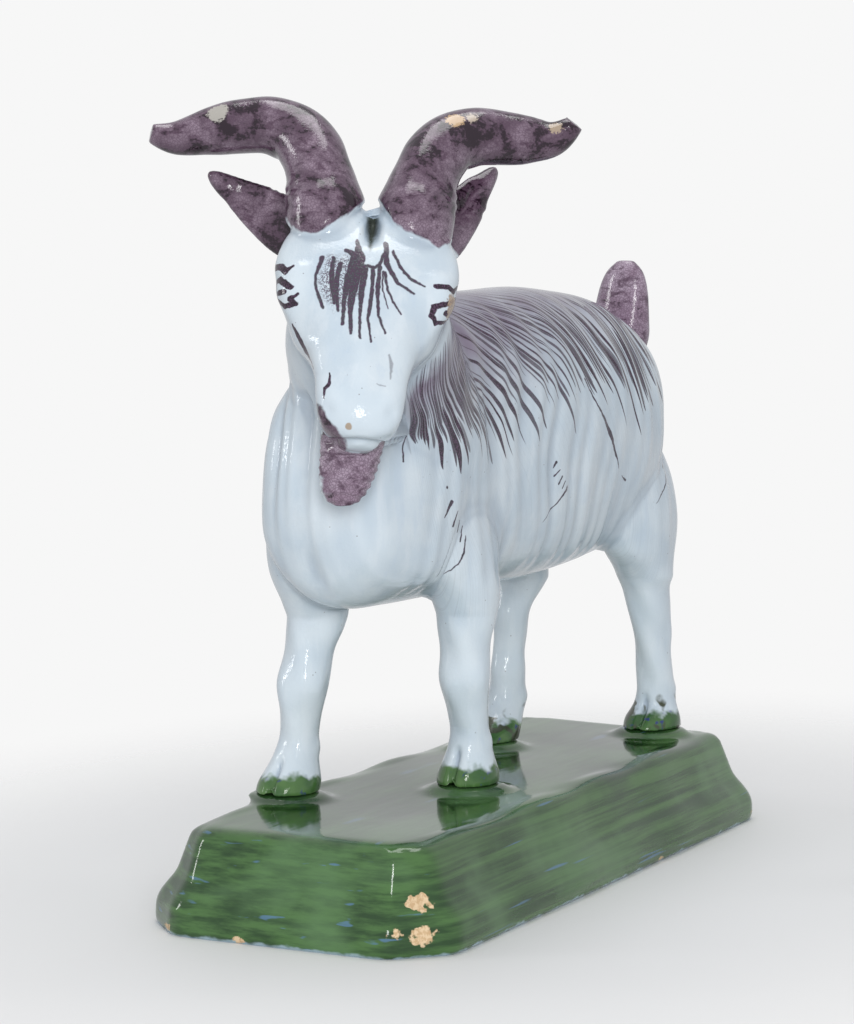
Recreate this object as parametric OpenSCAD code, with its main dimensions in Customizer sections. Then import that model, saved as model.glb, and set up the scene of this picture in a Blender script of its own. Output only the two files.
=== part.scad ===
// Tin-glazed earthenware goat on a hollow plinth, as the potter luted it together:
// two pressed trunk shells, a hollow head, four legs, two horns, two ears, a beard and a tail.
// The goat faces -Y, its own left side is +X, and +Z is up.
// The origin is the middle of the plinth's foot rim, on the table.

/* [Plinth] */
// Length of the plinth at its foot
plinth_l = 163; // [150:1:190]
// Width of the plinth at its foot
plinth_w = 62; // [56:1:80]
// Height of the plinth
plinth_h = 19.4; // [15:0.1:26]
// How far the top edge lies inside the foot on each side
plinth_slope = 5.8; // [3:0.1:8]
// Length of the cut across each corner at the foot
plinth_corner = 9; // [5:0.5:14]
// Wall of the plinth
plinth_wall = 5; // [3:0.5:7]
// Diameter of the clay pad under each hoof
pad_d = 15; // [14:0.5:18]
// Height of the clay pad under each hoof
pad_h = 1.2; // [0.6:0.1:3]

/* [Trunk] */
// Length of the trunk from rump to breast
trunk_l = 126; // [116:1:134]
// Width of the trunk at the barrel
trunk_w = 40; // [36:0.5:46]
// Height of the trunk from belly to back
trunk_h = 60; // [54:0.5:66]
// Height of the belly above the plinth's top
belly_rise = 37.5; // [34:0.5:44]
// Wall of the pressed shells
shell_wall = 4.5; // [3:0.5:6]

/* [Neck and head] */
// Width of the neck where the head is luted on
neck_w = 33; // [29:0.5:36]
// Depth of the neck there, from nape to throat
neck_d = 31; // [27:0.5:34]
// Height of the poll above the belly
poll_rise = 73.5; // [70:0.5:77]
// Length of the head from poll to muzzle
head_l = 46.5; // [43:0.5:51]
// Width of the head at the eyes
head_w = 34; // [31:0.5:37]
// Width of the muzzle
muzzle_w = 17; // [14:0.5:20]
// Turn of the head to the goat's left
head_turn = 28; // [10:1:35]
// Slope of the face below the horizontal
head_pitch = 55; // [48:1:62]
// Lean of the head to one side
head_roll = 3; // [-4:0.5:6]
// Diameter of the vent hole between the horns
vent_d = 3.2; // [2:0.1:4]

/* [Horns] */
// Sideways reach of each horn from the middle of the head
horn_reach = 40; // [35:0.5:46]
// Rise of each horn above its seat
horn_rise = 18.2; // [14:0.5:24]
// Backward sweep of each horn
horn_sweep = 14; // [6:0.5:18]
// Diameter of the horn at its seat
horn_root_d = 14; // [12:0.1:15]
// Diameter of the horn near its tip
horn_tip_d = 3.2; // [2.4:0.1:5]
// Extra upward curl at the tip of the left horn
horn_curl = 6.5; // [0:0.1:8]
// How unevenly far the two hand-rolled horns reach
horn_uneven = 1.6; // [0:0.1:2.4]

/* [Ears] */
// Length of each ear
ear_l = 23; // [19:0.5:26]
// Width of each ear at its root
ear_w = 11; // [8:0.5:13]
// Thickness of each ear
ear_t = 3.6; // [2.6:0.1:5]

/* [Beard and tail] */
// Length of the beard below the jaw
beard_l = 13.5; // [10:0.5:17]
// Width of the beard at the jaw
beard_w = 11.6; // [9:0.1:14]
// Length of the tail
tail_l = 19; // [15:0.5:22]
// Width of the tail
tail_w = 12; // [9:0.5:14]

/* [Legs] */
// Height of the luted leg joint above the plinth's top
joint_rise = 35; // [31:0.5:36]
// Thickness of a foreleg at the joint
foreleg_d = 12; // [10:0.1:14]
// Thickness of a hind leg at the joint
hindleg_d = 12; // [10:0.1:14]
// Thickness of the legs at the pastern
pastern_d = 7.4; // [6:0.1:9]
// Length of a hoof
hoof_l = 13.6; // [11:0.1:16]
// Width of a hoof
hoof_w = 12; // [10:0.1:14]
// Width of the cleft between the toes
cleft_w = 1.2; // [0.6:0.1:2]

/* [Hidden] */

LEFT = 1;
RIGHT = -1;
GLAZE = "#c9d9e4";
PURPLE = "#6b4a62";
GREEN = "#4f7f45";

// The goat stands a little askew on the plinth.
stance_turn = -4.4;
stance_shift = -4.6;
belly_z = plinth_h + belly_rise;
pad_z = plinth_h + pad_h;
joint_z = plinth_h + joint_rise;
rump_y = 70;
big = 400;

// ---------- curves and lofts ----------

// Point on the smooth curve through the rows of a table, t from 0 to 1.
function curve(rows, t) =
  let (n = len(rows) - 1, s = min(max(t, 0), 1) * n, i = min(floor(s), n - 1), f = s - i,
       a = rows[max(i - 1, 0)], b = rows[i], c = rows[i + 1], d = rows[min(i + 2, n)])
  0.5 * (2 * b + (c - a) * f + (2 * a - 5 * b + 4 * c - d) * f * f + (3 * b - a - 3 * c + d) * f * f * f);

function unit(v) = v / norm(v);
function power(x, e) = sign(x) * pow(abs(x), e);

// Closed ring of n points round centre c, on axes u and v, squarer as e falls below 1.
function ring(c, u, v, v_low, n, e = 1) =
  [for (i = [0:n - 1]) let (a = 360 * i / n, s = sin(a))
    c + u * power(cos(a), e) + (s < 0 ? v_low : v) * power(s, e)];

// Solid through a list of rings that turn clockwise about the direction they are listed in.
module loft(rings) {
  n = len(rings[0]);
  m = len(rings);
  polyhedron(
    points = [for (r = rings) each r],
    faces = concat(
      [[for (i = [0:n - 1]) i]],
      [for (j = [0:m - 2]) for (i = [0:n - 1]) let (k = (i + 1) % n) each [
        [j * n + i, (j + 1) * n + k, j * n + k], [j * n + i, (j + 1) * n + i, (j + 1) * n + k]]],
      [[for (i = [n - 1:-1:0]) (m - 1) * n + i]]));
}

// Sections of a form that runs along -Y: rows of [forward, height, half width, up, down].
function barrel_rings(rows, count, n, e) =
  [for (j = [0:count]) let (r = curve(rows, j / count))
    ring([0, -r[0], r[1]], [r[2], 0, 0], [0, 0, r[3]], [0, 0, r[4]], n, e)];

// ---------- plinth ----------

// Side of the plinth from the foot up: [share of the height, share of the slope].
plinth_profile = [
  [0, 0.1], [0.07, 0], [0.2, 0], [0.34, 0.16], [0.55, 0.5], [0.8, 0.8], [0.93, 0.95], [1, 1.3]
];

// How much wider each pad is where it meets the plinth.
pad_flare = 1.5;
// How much narrower the cut corners become as the sides slope in.
corner_close = 0.7;

// Four-sided section with its corners cut off.
function chamfered(l, w, c, z) =
  [for (k = [[1, 1], [-1, 1], [-1, -1], [1, -1]])
    let (a = [k[0] * w / 2, k[1] * (l / 2 - c), z], b = [k[0] * (w / 2 - c), k[1] * l / 2, z])
    each (k[0] * k[1] > 0 ? [a, b] : [b, a])];

// The plinth's form, or its hollow when inset from the outside.
module plinth_form(inset, top) {
  loft([for (p = plinth_profile)
    let (d = 2 * (plinth_slope * p[1] + inset))
    chamfered(plinth_l - d, plinth_w - d, plinth_corner - plinth_slope * p[1] * corner_close, top * p[0])]);
}

module plinth() {
  color(GREEN) difference() {
    union() {
      plinth_form(0, plinth_h);
      for (foot = feet) translate(on_plinth(foot))
        cylinder(h = pad_h, d1 = pad_d + pad_flare, d2 = pad_d, $fn = 48);
    }
    translate([0, 0, -0.01]) plinth_form(plinth_wall, plinth_h - plinth_wall);
  }
}

// ---------- goat's own frame ----------

module goat() translate([stance_shift, 0, 0]) rotate([0, 0, stance_turn]) children();

// A hoof's place on the plinth from its place under the goat.
function on_plinth(p) = let (c = cos(stance_turn), s = sin(stance_turn), x = p[0], y = -p[1])
  [stance_shift + x * c - y * s, x * s + y * c, plinth_h];

// ---------- legs ----------

// Hoof centres, [sideways, forward].
foot_fl = [12.4, 16.5];
foot_fr = [-12.8, 42.9];
foot_hl = [11.3, -64.1];
foot_hr = [-10.7, -30];
feet = [foot_fl, foot_fr, foot_hl, foot_hr];

// Where each leg meets the trunk, [sideways, forward].
top_fl = [13, 18];
top_fr = [-10.6, 35.5];
top_hl = [12, -59.5];
top_hr = [-10.8, -44.5];

// How far each hind pastern stands behind the middle of its hoof.
lag_hl = 2.6;
lag_hr = 5;
// How far each hind leg bows forward below the hock, and how much it thins there.
bow_hl = 0;
bow_hr = 3;

// Rows of a leg from the pad up: [share of the way up, forward, half width, half depth].
foreleg_rows = let (p = pastern_d / 2, t = foreleg_d / 2, w = hoof_w / 2, l = hoof_l / 2) [
  [0, 0, w, l], [0.06, -0.2, w, l - 0.3], [0.14, -0.6, w * 0.84, l * 0.8], [0.22, -0.8, p + 0.5, p + 0.8],
  [0.31, -0.8, p, p + 0.2], [0.42, -0.3, p + 0.35, p + 0.6], [0.54, 0.5, p + 0.8, p + 1.3],
  [0.66, 0.8, p + 1.1, p + 1.4], [0.8, 0.5, p + 1.2, p + 1.3], [0.92, 0.2, t - 0.4, t - 0.4], [1, 0, t, t]];

function hindleg_rows(lag, bow) =
  let (p = pastern_d / 2, t = hindleg_d / 2, w = hoof_w / 2, l = hoof_l / 2) [
  [0, -lag * 0.1, w, l + lag * 0.3], [0.06, -lag * 0.3, w, l - 0.4], [0.14, -lag * 0.8, w * 0.8, l * 0.72],
  [0.22, -lag, p + 0.4, p + 0.9], [0.31, bow * 0.2 - lag, p + 0.2, p + 0.5],
  [0.42, bow * 0.5 - lag * 0.9, p + 0.1, p + 0.5],
  [0.54, bow * 0.8 - lag * 0.8, p - bow * 0.15, p + 0.8 - bow * 0.3],
  [0.66, bow - lag * 0.7, p + 0.2 - bow * 0.2, p + 1.4 - bow * 0.4],
  [0.8, bow - lag * 0.4, p + 0.7 - bow * 0.1, p + 1.8 - bow * 0.3],
  [0.92, bow * 0.3 - lag * 0.15, t - 1, t - 0.2],
  [1, 0, t, t + 0.6]];

function leg_rings(rows, foot, top, count, n) =
  [for (j = [0:count]) let (r = curve(rows, j / count), c = foot + (top - foot) * r[0])
    ring([c[0], -c[1] - r[1], pad_z + (joint_z - pad_z) * r[0]],
      [r[2], 0, 0], [0, r[3], 0], [0, r[3], 0], n)];

// Height of the hooves.
hoof_h = (joint_z - pad_z) * 0.207;

// Narrow wedge that parts the two toes at the front of a hoof.
module cleft(foot) {
  translate([foot[0], -foot[1] - hoof_l * 0.42, pad_z - 1])
    rotate([-14, 0, 0]) cylinder(h = hoof_h + 1, d1 = cleft_w * 2, d2 = cleft_w, $fn = 24);
}

module leg(rows, foot, top) {
  color(GLAZE) goat() difference() {
    loft(leg_rings(rows, foot, top, 18, 18));
    cleft(foot);
  }
}

module foreleg_left() leg(foreleg_rows, foot_fl, top_fl);
module foreleg_right() leg(foreleg_rows, foot_fr, top_fr);
module hindleg_left() leg(hindleg_rows(lag_hl, bow_hl), foot_hl, top_hl);
module hindleg_right() leg(hindleg_rows(lag_hr, bow_hr), foot_hr, top_hr);

// ---------- trunk ----------

// Rows from rump to breast: shares of [length, height of the axis, half width, up, down].
trunk_table = [
  [0, 0.6, 0.14, 0.1, 0.12], [0.012, 0.59, 0.42, 0.4, 0.4], [0.05, 0.56, 0.68, 0.6, 0.68],
  [0.12, 0.53, 0.89, 0.79, 0.88], [0.22, 0.51, 1.02, 0.95, 0.94],
  [0.38, 0.5, 1.03, 1.03, 0.98], [0.55, 0.5, 0.99, 1.02, 1],
  [0.7, 0.49, 0.93, 0.96, 0.98], [0.82, 0.47, 0.89, 0.86, 0.94], [0.91, 0.43, 0.79, 0.7, 0.84],
  [0.96, 0.4, 0.62, 0.54, 0.64], [0.99, 0.38, 0.36, 0.3, 0.34], [1, 0.37, 0.12, 0.1, 0.1]
];

function trunk_rows(wall) = [for (r = trunk_table) [
  -rump_y + wall + (trunk_l - 2 * wall) * r[0], belly_z + trunk_h * r[1],
  (trunk_w / 2 - wall) * r[2], (trunk_h / 2 - wall) * r[3], (trunk_h / 2 - wall) * r[4]]];

// The neck runs from inside the breast to the flat face that the head is luted on.
neck_root = [0, -18, belly_z + 26];
// How far the neck's flat face lies below the poll.
seat_drop = 21.5;
neck_seat = [6, -43, belly_z + poll_rise - seat_drop];
seat_normal = unit([0, neck_seat[1] - neck_root[1], neck_seat[2] - neck_root[2]]);
nape_way = cross(seat_normal, [1, 0, 0]);

// Rings from the root to the given share of the way to the seat.
function neck_rings(wall, reach, count, n) = let (w = neck_w / 2 - wall, d = neck_d / 2 - wall)
  [for (j = [0:count]) let (t = reach * j / count, grow = 1 - t)
    ring(neck_root + (neck_seat - neck_root) * t, [w + 2 * grow, 0, 0],
      nape_way * (d + 7 * grow), nape_way * (d + 2 * grow), n)];

// Rows of a limb's stub above its joint: [height, outward, forward, half width, half depth].
shoulder_rows = let (t = foreleg_d / 2) [
  [0, 0, 0, t, t], [2.5, 0, 0.3, t + 0.5, t + 1], [7, -0.2, 1, t + 1.2, t + 3],
  [13, -0.8, 1.6, t + 1.6, t + 5], [20, -2, 2, t + 1, t + 5.5], [27, -4, 1.5, t - 1, t + 3]
];

thigh_rows = let (t = hindleg_d / 2) [
  [0, 0, 0, t, t + 0.6], [2.5, 0, 1, t + 0.2, t + 2], [7, 0, 3, t + 0.8, t + 5],
  [14, -0.4, 5, t + 1.6, t + 7.4], [22, -1.4, 6.4, t + 1.2, t + 8.5], [30, -2.6, 6.4, t - 0.8, t + 6]
];

// The part of a limb that was pressed with the trunk.
module stub(rows, top) {
  side = sign(top[0]);
  loft([for (r = rows)
    ring([top[0] + side * r[1], -top[1] - r[2], joint_z + r[0]],
      [r[3], 0, 0], [0, r[4], 0], [0, r[4], 0], 18)]);
}

module trunk_half(side) {
  color(GLAZE) goat() difference() {
    union() {
      loft(barrel_rings(trunk_rows(0), 26, 28, 0.9));
      loft(neck_rings(0, 1, 5, 24));
      stub(shoulder_rows, side > 0 ? top_fl : top_fr);
      stub(thigh_rows, side > 0 ? top_hl : top_hr);
    }
    loft(barrel_rings(trunk_rows(shell_wall), 16, 20, 0.9));
    loft(neck_rings(shell_wall, 1.03, 4, 18));
    translate([side > 0 ? -big : 0, -big / 2, -big / 2]) cube(big);
  }
}

module trunk_left() trunk_half(LEFT);
module trunk_right() trunk_half(RIGHT);

// ---------- head ----------

poll = [8.9, -46.5, belly_z + poll_rise];

module on_head() goat() translate(poll) rotate([0, head_roll, head_turn - stance_turn]) children();

// Rows along the face: [share of the length, share of half the width, brow, jaw].
skull_table = [
  [-0.05, 0.24, 0.5, 4], [-0.02, 0.56, 2.4, 9], [0.05, 0.86, 4.4, 13],
  [0.19, 1, 5.8, 16.5], [0.32, 0.95, 6, 17],
  [0.43, 0.86, 5.6, 16], [0.52, 0.75, 5, 14], [0.61, 0.61, 4.6, 12]
];
muzzle_table = [
  [0.72, 1.02, 4.5, 10.6], [0.82, 0.96, 4.4, 9.8], [0.92, 0.86, 3.9, 8.6],
  [0.975, 0.62, 2.6, 6.2], [1, 0.25, 0.8, 2.6]
];

function skull_rows(wall) = let (w = head_w / 2 - wall, m = muzzle_w / 2 - wall * 0.5)
  [for (k = [[skull_table, w], [muzzle_table, m]]) for (r = k[0])
    [head_l * r[0], 0, k[1] * r[1], max(r[2] - wall * 0.4, 0.4), max(r[3] - wall, 1.5)]];

module skull(wall, count, n) {
  rotate([head_pitch, 0, 0]) loft(barrel_rings(skull_rows(wall), count, n, 0.95));
}

// The hollow that the thumb leaves inside the pressed skull.
module skull_hollow() {
  rows = skull_rows(shell_wall);
  last = len(skull_table) - 1;
  cap = [[rows[2][0] + shell_wall, 0, rows[2][2] * 0.5, 0.3, rows[2][4] * 0.5]];
  tip = [[rows[last][0] + 2, 0, 1, 0.2, 2]];
  rotate([head_pitch, 0, 0]) loft(barrel_rings(concat(cap, [for (i = [3:last]) rows[i]], tip), 10, 16, 0.95));
}

// The neck's continuation into the skull; start is its first height above the seat.
module nape(wall, start) {
  w = neck_w / 2 - wall;
  d = neck_d / 2 - wall;
  goat() loft([for (r = [[start, 1, 1], [5, 0.95, 0.92], [11, 0.8, 0.75], [16, 0.6, 0.5]])
    ring(neck_seat + seat_normal * r[0] + [r[0] * 0.15, 0, 0], [w * r[1], 0, 0], nape_way * d * r[2],
      nape_way * d * r[2], 24)]);
}

// Everything on the trunk's side of the flat face between neck and head.
module below_neck_seat() {
  goat() translate(neck_seat) rotate([atan2(-seat_normal[1], seat_normal[2]), 0, 0])
    translate([-big / 2, -big / 2, -big]) cube(big);
}

module head() {
  color(GLAZE) difference() {
    union() {
      on_head() skull(0, 24, 24);
      nape(0, -1);
      for (side = [LEFT, RIGHT]) on_head() horn_boss(side);
    }
    for (side = [LEFT, RIGHT]) on_head() horn_socket(side);
    below_neck_seat();
    on_head() skull_hollow();
    nape(shell_wall, -1);
    on_head() translate([0, 3, -12]) cylinder(h = 30, d = vent_d, $fn = 32);
  }
}

// ---------- horns ----------

// Rows from inside the skull, over the seat, to the tip: shares of [reach, rise, sweep, thickness].
horn_table = [
  [0.16, -0.5, -0.1, 1.06], [0.2, 0, 0, 1], [0.23, 0.36, 0.21, 0.98], [0.29, 0.72, 0.5, 0.94],
  [0.38, 0.93, 0.75, 0.88],
  [0.56, 1, 0.93, 0.8], [0.74, 0.91, 1, 0.68], [0.89, 0.82, 0.96, 0.42], [1, 0.86, 0.9, 0.16]
];

function horn_row(side, t) = let (r = curve(horn_table, t), late = max(0, t - 0.6) / 0.4)
  [side * (horn_reach * r[0] + late * (side > 0 ? -horn_uneven : 2 * horn_uneven)), horn_sweep * r[2],
   horn_rise * r[1] + (side > 0 ? horn_curl : 0) * pow(late, 1.5),
   horn_tip_d / 2 + (horn_root_d - horn_tip_d) / 2 * (r[3] - 0.16) / 0.84];

function horn_ring(side, t, n, gap = 0) =
  let (r = horn_row(side, t), p = [r[0], r[1], r[2]],
       q = horn_row(side, t - 0.01), o = horn_row(side, t + 0.01),
       axis = unit([o[0] - q[0], o[1] - q[1], o[2] - q[2]]),
       u = unit(cross([0, 1, 0], axis)), v = cross(axis, u))
  ring(p, u * (r[3] + gap), v * (r[3] + gap), v * (r[3] + gap), n);

horn_seat_t = 1 / 8;
horn_gap = 0.15;

// The pressed stub under each horn; its socket trims the top flat.
module horn_boss(side) loft([for (t = [0.005, 0.045, 0.085, 0.135]) horn_ring(side, t, 20)]);

// Room for the foot of the horn where the crown rises round its seat.
module horn_socket(side) loft([for (t = [horn_seat_t, 0.2, 0.26]) horn_ring(side, t, 20, horn_gap)]);

module horn(side) {
  tip_t = 0.985;
  color(PURPLE) on_head()
    loft([for (j = [0:22]) horn_ring(side, horn_seat_t + (tip_t - horn_seat_t) * j / 22, 20)]);
}
module horn_left() horn(LEFT);
module horn_right() horn(RIGHT);

// ---------- ears ----------

// Root and direction of each ear: [sideways, back, up]; the right one was set lower and wider.
ear_root = [11, 9.5, -4];
ear_way_left = unit([10.5, 12, 14]);
ear_way_right = unit([-18.8, 4, 13.4]);

module ear_form(side) {
  way = side > 0 ? ear_way_left : ear_way_right;
  u = unit(cross([0, 1, 0], way));
  v = cross(way, u);
  root = [side * ear_root[0], ear_root[1], ear_root[2]];
  reach = ear_l * (side > 0 ? 1 : 1.06);
  loft([for (r = [[-0.1, 0.7, 1.2], [0.02, 0.92, 1.25], [0.25, 1, 1.2], [0.5, 0.82, 1.1], [0.75, 0.52, 0.95],
                  [0.93, 0.28, 0.8], [1, 0.1, 0.4]])
    ring(root + way * r[0] * reach, u * r[1] * ear_w / 2, v * r[2] * ear_t / 2, v * r[2] * ear_t / 2, 16)]);
}
module ear(side) color(PURPLE) difference() {
  on_head() ear_form(side);
  on_head() skull(0, 24, 24);
}
module ear_left() ear(LEFT);
module ear_right() ear(RIGHT);

// ---------- beard and tail ----------

// Rows of the beard from inside the jaw: [share of the length, share of the width, half depth].
beard_rows = [
  [0.35, 0.9, 5], [0, 1, 5.4], [-0.3, 0.94, 5], [-0.6, 0.74, 4], [-0.85, 0.46, 2.6], [-1, 0.2, 1.2]
];
beard_root = [-1.2, -head_l * 0.29, -head_l * 0.817];

module beard() color(PURPLE) difference() {
  on_head() translate(beard_root) loft([for (r = beard_rows)
    ring([0, r[0] * 1.5, r[0] * beard_l], [beard_w / 2 * r[1], 0, 0], [0, -r[2], 0], [0, -r[2], 0], 18)]);
  on_head() skull(0, 24, 24);
  nape(0, -1);
}

// Rows of the tail from below the rump's top: [height, share of the width, half depth].
tail_rows = [
  [-3, 0.8, 3], [2, 1, 3.4], [0.35 * tail_l, 1, 3.3], [0.65 * tail_l, 0.86, 3],
  [0.87 * tail_l, 0.6, 2.4], [tail_l, 0.24, 1.2]
];

module tail() color(PURPLE) goat() difference() {
  translate([-0.4, rump_y + 1.5, belly_z + trunk_h * 0.78]) rotate([-3, 0, 0]) loft([for (r = tail_rows)
    ring([0, 0, r[0]], [tail_w / 2 * r[1], 0, 0], [0, r[2], 0], [0, r[2], 0], 18)]);
  loft(barrel_rings(trunk_rows(0), 26, 28, 0.9));
}

plinth();
trunk_left();
trunk_right();
head();
horn_left();
horn_right();
ear_left();
ear_right();
beard();
tail();
foreleg_left();
foreleg_right();
hindleg_left();
hindleg_right();
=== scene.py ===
"""The glazed look of the earthenware goat: one smooth skin per piece, all cut from one luted form."""
import math

import bmesh
import bpy
import numpy as np
from mathutils import Matrix, Vector


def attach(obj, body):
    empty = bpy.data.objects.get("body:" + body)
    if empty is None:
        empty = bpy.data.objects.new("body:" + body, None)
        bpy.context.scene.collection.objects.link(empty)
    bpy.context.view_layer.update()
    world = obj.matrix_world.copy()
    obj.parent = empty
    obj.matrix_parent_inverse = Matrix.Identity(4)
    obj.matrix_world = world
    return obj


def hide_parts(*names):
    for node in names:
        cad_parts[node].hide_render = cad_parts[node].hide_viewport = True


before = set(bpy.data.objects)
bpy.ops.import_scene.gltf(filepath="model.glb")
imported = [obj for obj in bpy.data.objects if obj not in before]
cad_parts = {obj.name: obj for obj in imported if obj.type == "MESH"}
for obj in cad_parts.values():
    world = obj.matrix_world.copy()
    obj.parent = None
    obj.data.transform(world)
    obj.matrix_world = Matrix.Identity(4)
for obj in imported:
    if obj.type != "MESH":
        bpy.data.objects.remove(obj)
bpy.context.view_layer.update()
MM = 0.001

# ---------------------------------------------------------------- camera, light, ground


def add_object(name, data):
    made = bpy.data.objects.new(name, data)
    bpy.context.collection.objects.link(made)
    return made


def set_attribute(mesh, name, values):
    layer = mesh.attributes.new(name, "FLOAT", "POINT")
    layer.data.foreach_set("value", np.ascontiguousarray(values, dtype=np.float32))


def add_piece(name, mesh):
    """Shows a mesh, already in its place, instead of one solid."""
    mesh.name = name + "_glazed"
    piece = add_object(name + "_glazed", mesh)
    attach(piece, "root")
    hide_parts(name)
    PIECES[name] = piece


PIECES = {}


def add_camera():
    data = bpy.data.cameras.new("view")
    data.lens, data.sensor_width = 110.295, 36
    data.shift_x, data.shift_y = -0.04923, -0.03515
    data.clip_start, data.clip_end = 0.01, 20
    right, up = Vector((0.89621, 0.44364, 0)), Vector((-0.03508, 0.07086, 0.99687))
    turn = Matrix((right, up, right.cross(up))).transposed().to_4x4()
    camera = add_object("view", data)
    camera.matrix_world = Matrix.Translation((0.28115, -0.56796, 0.13026)) @ turn
    bpy.context.scene.camera = camera


LAMP_AIM = (0, 0, 0.08)


def area_lamp(name, place, wide, high, power, mirrored=True):
    data = bpy.data.lights.new(name, "AREA")
    data.shape = "RECTANGLE"
    data.size, data.size_y, data.energy = wide, high, power
    lamp = add_object(name, data)
    lamp.visible_glossy = mirrored
    lamp.location = place
    lamp.rotation_mode = "QUATERNION"
    lamp.rotation_quaternion = (Vector(LAMP_AIM) - Vector(place)).to_track_quat("-Z", "Y")


# ---------------------------------------------------------------- shader arithmetic


class Val:
    """A socket that takes part in Python expressions; each operator adds one Math node."""

    def __init__(self, shader, socket):
        self.shader, self.socket = shader, socket

    def _math(self, operation, *values):
        return self.shader.node("ShaderNodeMath", {"operation": operation}, dict(enumerate(values)))

    def __add__(self, o): return self._math("ADD", self, o)
    def __radd__(self, o): return self._math("ADD", o, self)
    def __sub__(self, o): return self._math("SUBTRACT", self, o)
    def __rsub__(self, o): return self._math("SUBTRACT", o, self)
    def __mul__(self, o): return self._math("MULTIPLY", self, o)
    def __rmul__(self, o): return self._math("MULTIPLY", o, self)
    def __truediv__(self, o): return self._math("DIVIDE", self, o)
    def __rtruediv__(self, o): return self._math("DIVIDE", o, self)
    def __abs__(self): return self._math("ABSOLUTE", self)
    def floor(self): return self._math("FLOOR", self)
    def fract(self): return self._math("FRACT", self)
    def sqrt(self): return self._math("SQRT", self)
    def max(self, o): return self._math("MAXIMUM", self, o)
    def min(self, o): return self._math("MINIMUM", self, o)
    def clamp(self): return self.max(0).min(1)

    def rise(self, low, high):
        """0 below low, 1 above high, smooth between; low may be above high."""
        return self.shader.node("ShaderNodeMapRange", {"interpolation_type": "SMOOTHSTEP"},
                                {0: self, 1: low, 2: high, 3: 0, 4: 1})


class Shader:
    def __init__(self, name):
        self.material = bpy.data.materials.new(name)
        self.material.use_nodes = True
        self.tree = self.material.node_tree
        self.tree.nodes.clear()
        self.out = self.tree.nodes.new("ShaderNodeOutputMaterial")
        self.place = self.node("ShaderNodeTexCoord", {}, {}, "Object")
        self.mm = self.mapped(self.place, (1000, 1000, 1000))

    def node(self, kind, settings, inputs, output=0):
        made = self.tree.nodes.new(kind)
        for key, value in settings.items():
            setattr(made, key, value)
        for key, value in inputs.items():
            socket = made.inputs[key]
            if isinstance(value, Val):
                self.tree.links.new(value.socket, socket)
            else:
                socket.default_value = value
        return Val(self, made.outputs[output])

    def parts(self, vector):
        made = self.node("ShaderNodeSeparateXYZ", {}, {0: vector}).socket.node
        return [Val(self, made.outputs[i]) for i in range(3)]

    def vector(self, x, y, z):
        return self.node("ShaderNodeCombineXYZ", {}, {0: x, 1: y, 2: z})

    def mapped(self, place, scale):
        return self.node("ShaderNodeMapping", {}, {"Vector": place, "Scale": scale})

    def vector_math(self, operation, a, b, output="Value"):
        return self.node("ShaderNodeVectorMath", {"operation": operation}, {0: a, 1: b}, output)

    def distance(self, a, b):
        return self.vector_math("DISTANCE", a, b)

    def noise(self, place, scale, detail=2.0, rough=0.5, distort=0.0):
        return self.node("ShaderNodeTexNoise", {}, {
            "Vector": place, "Scale": scale, "Detail": detail, "Roughness": rough, "Distortion": distort})

    def attribute(self, name, output="Fac"):
        return self.node("ShaderNodeAttribute", {"attribute_name": name}, {}, output)

    def random(self, value, seed):
        return self.node("ShaderNodeTexWhiteNoise", {"noise_dimensions": "2D"},
                         {"Vector": self.vector(value, seed, 0)})

    def mix(self, factor, a, b):
        made = self.tree.nodes.new("ShaderNodeMix")
        made.data_type = "RGBA"
        for socket, value in ((made.inputs[0], factor), (made.inputs[6], a), (made.inputs[7], b)):
            if isinstance(value, Val):
                self.tree.links.new(value.socket, socket)
            elif isinstance(value, tuple):
                socket.default_value = (*value, 1)
            else:
                socket.default_value = value
        return Val(self, made.outputs[2])

    def finish(self, colour, roughness, height=None, lift=0.0, alpha=None):
        surface = self.tree.nodes.new("ShaderNodeBsdfPrincipled")
        for name, value in (("Base Color", colour), ("Roughness", roughness), ("Alpha", alpha)):
            if isinstance(value, Val):
                self.tree.links.new(value.socket, surface.inputs[name])
            elif value is not None:
                surface.inputs[name].default_value = value
        if height is not None:
            bump = self.node("ShaderNodeBump", {}, {"Height": height, "Distance": lift, "Strength": 1})
            self.tree.links.new(bump.socket, surface.inputs["Normal"])
        self.tree.links.new(surface.outputs[0], self.out.inputs[0])
        return self.material


# ---------------------------------------------------------------- curves and lofts, in millimetres


def unit(v):
    v = np.asarray(v, float)
    return v / np.linalg.norm(v)


def curve(rows, t):
    """Rows read off the smooth curve through a table, for an array of t from 0 to 1."""
    rows = np.asarray(rows, float)
    last = len(rows) - 1
    s = np.clip(t, 0, 1) * last
    i = np.minimum(s.astype(int), last - 1)
    f = (s - i)[:, None]
    a, b = rows[np.maximum(i - 1, 0)], rows[i]
    c, d = rows[i + 1], rows[np.minimum(i + 2, last)]
    return 0.5 * (2 * b + (c - a) * f + (2 * a - 5 * b + 4 * c - d) * f * f
                  + (3 * b - a - 3 * c + d) * f * f * f)


def turn_about(axis, degrees):
    return np.array(Matrix.Rotation(math.radians(degrees), 3, axis))


def loft(rings):
    """Vertices and faces of a closed tube through an array of rings [count, n, 3]."""
    m, n = rings.shape[:2]
    points = rings.reshape(-1, 3)
    k = np.arange(n)
    k2 = (k + 1) % n
    faces = []
    for j in range(m - 1):
        a, b = j * n, (j + 1) * n
        faces += np.stack([a + k, a + k2, b + k2, b + k], 1).tolist()
    low, high = len(points), len(points) + 1
    points = np.vstack([points, rings[0].mean(0), rings[-1].mean(0)])
    faces += [[low, int(y), int(x)] for x, y in zip(k, k2)]
    faces += [[high, int((m - 1) * n + x), int((m - 1) * n + y)] for x, y in zip(k, k2)]
    return points, faces


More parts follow.
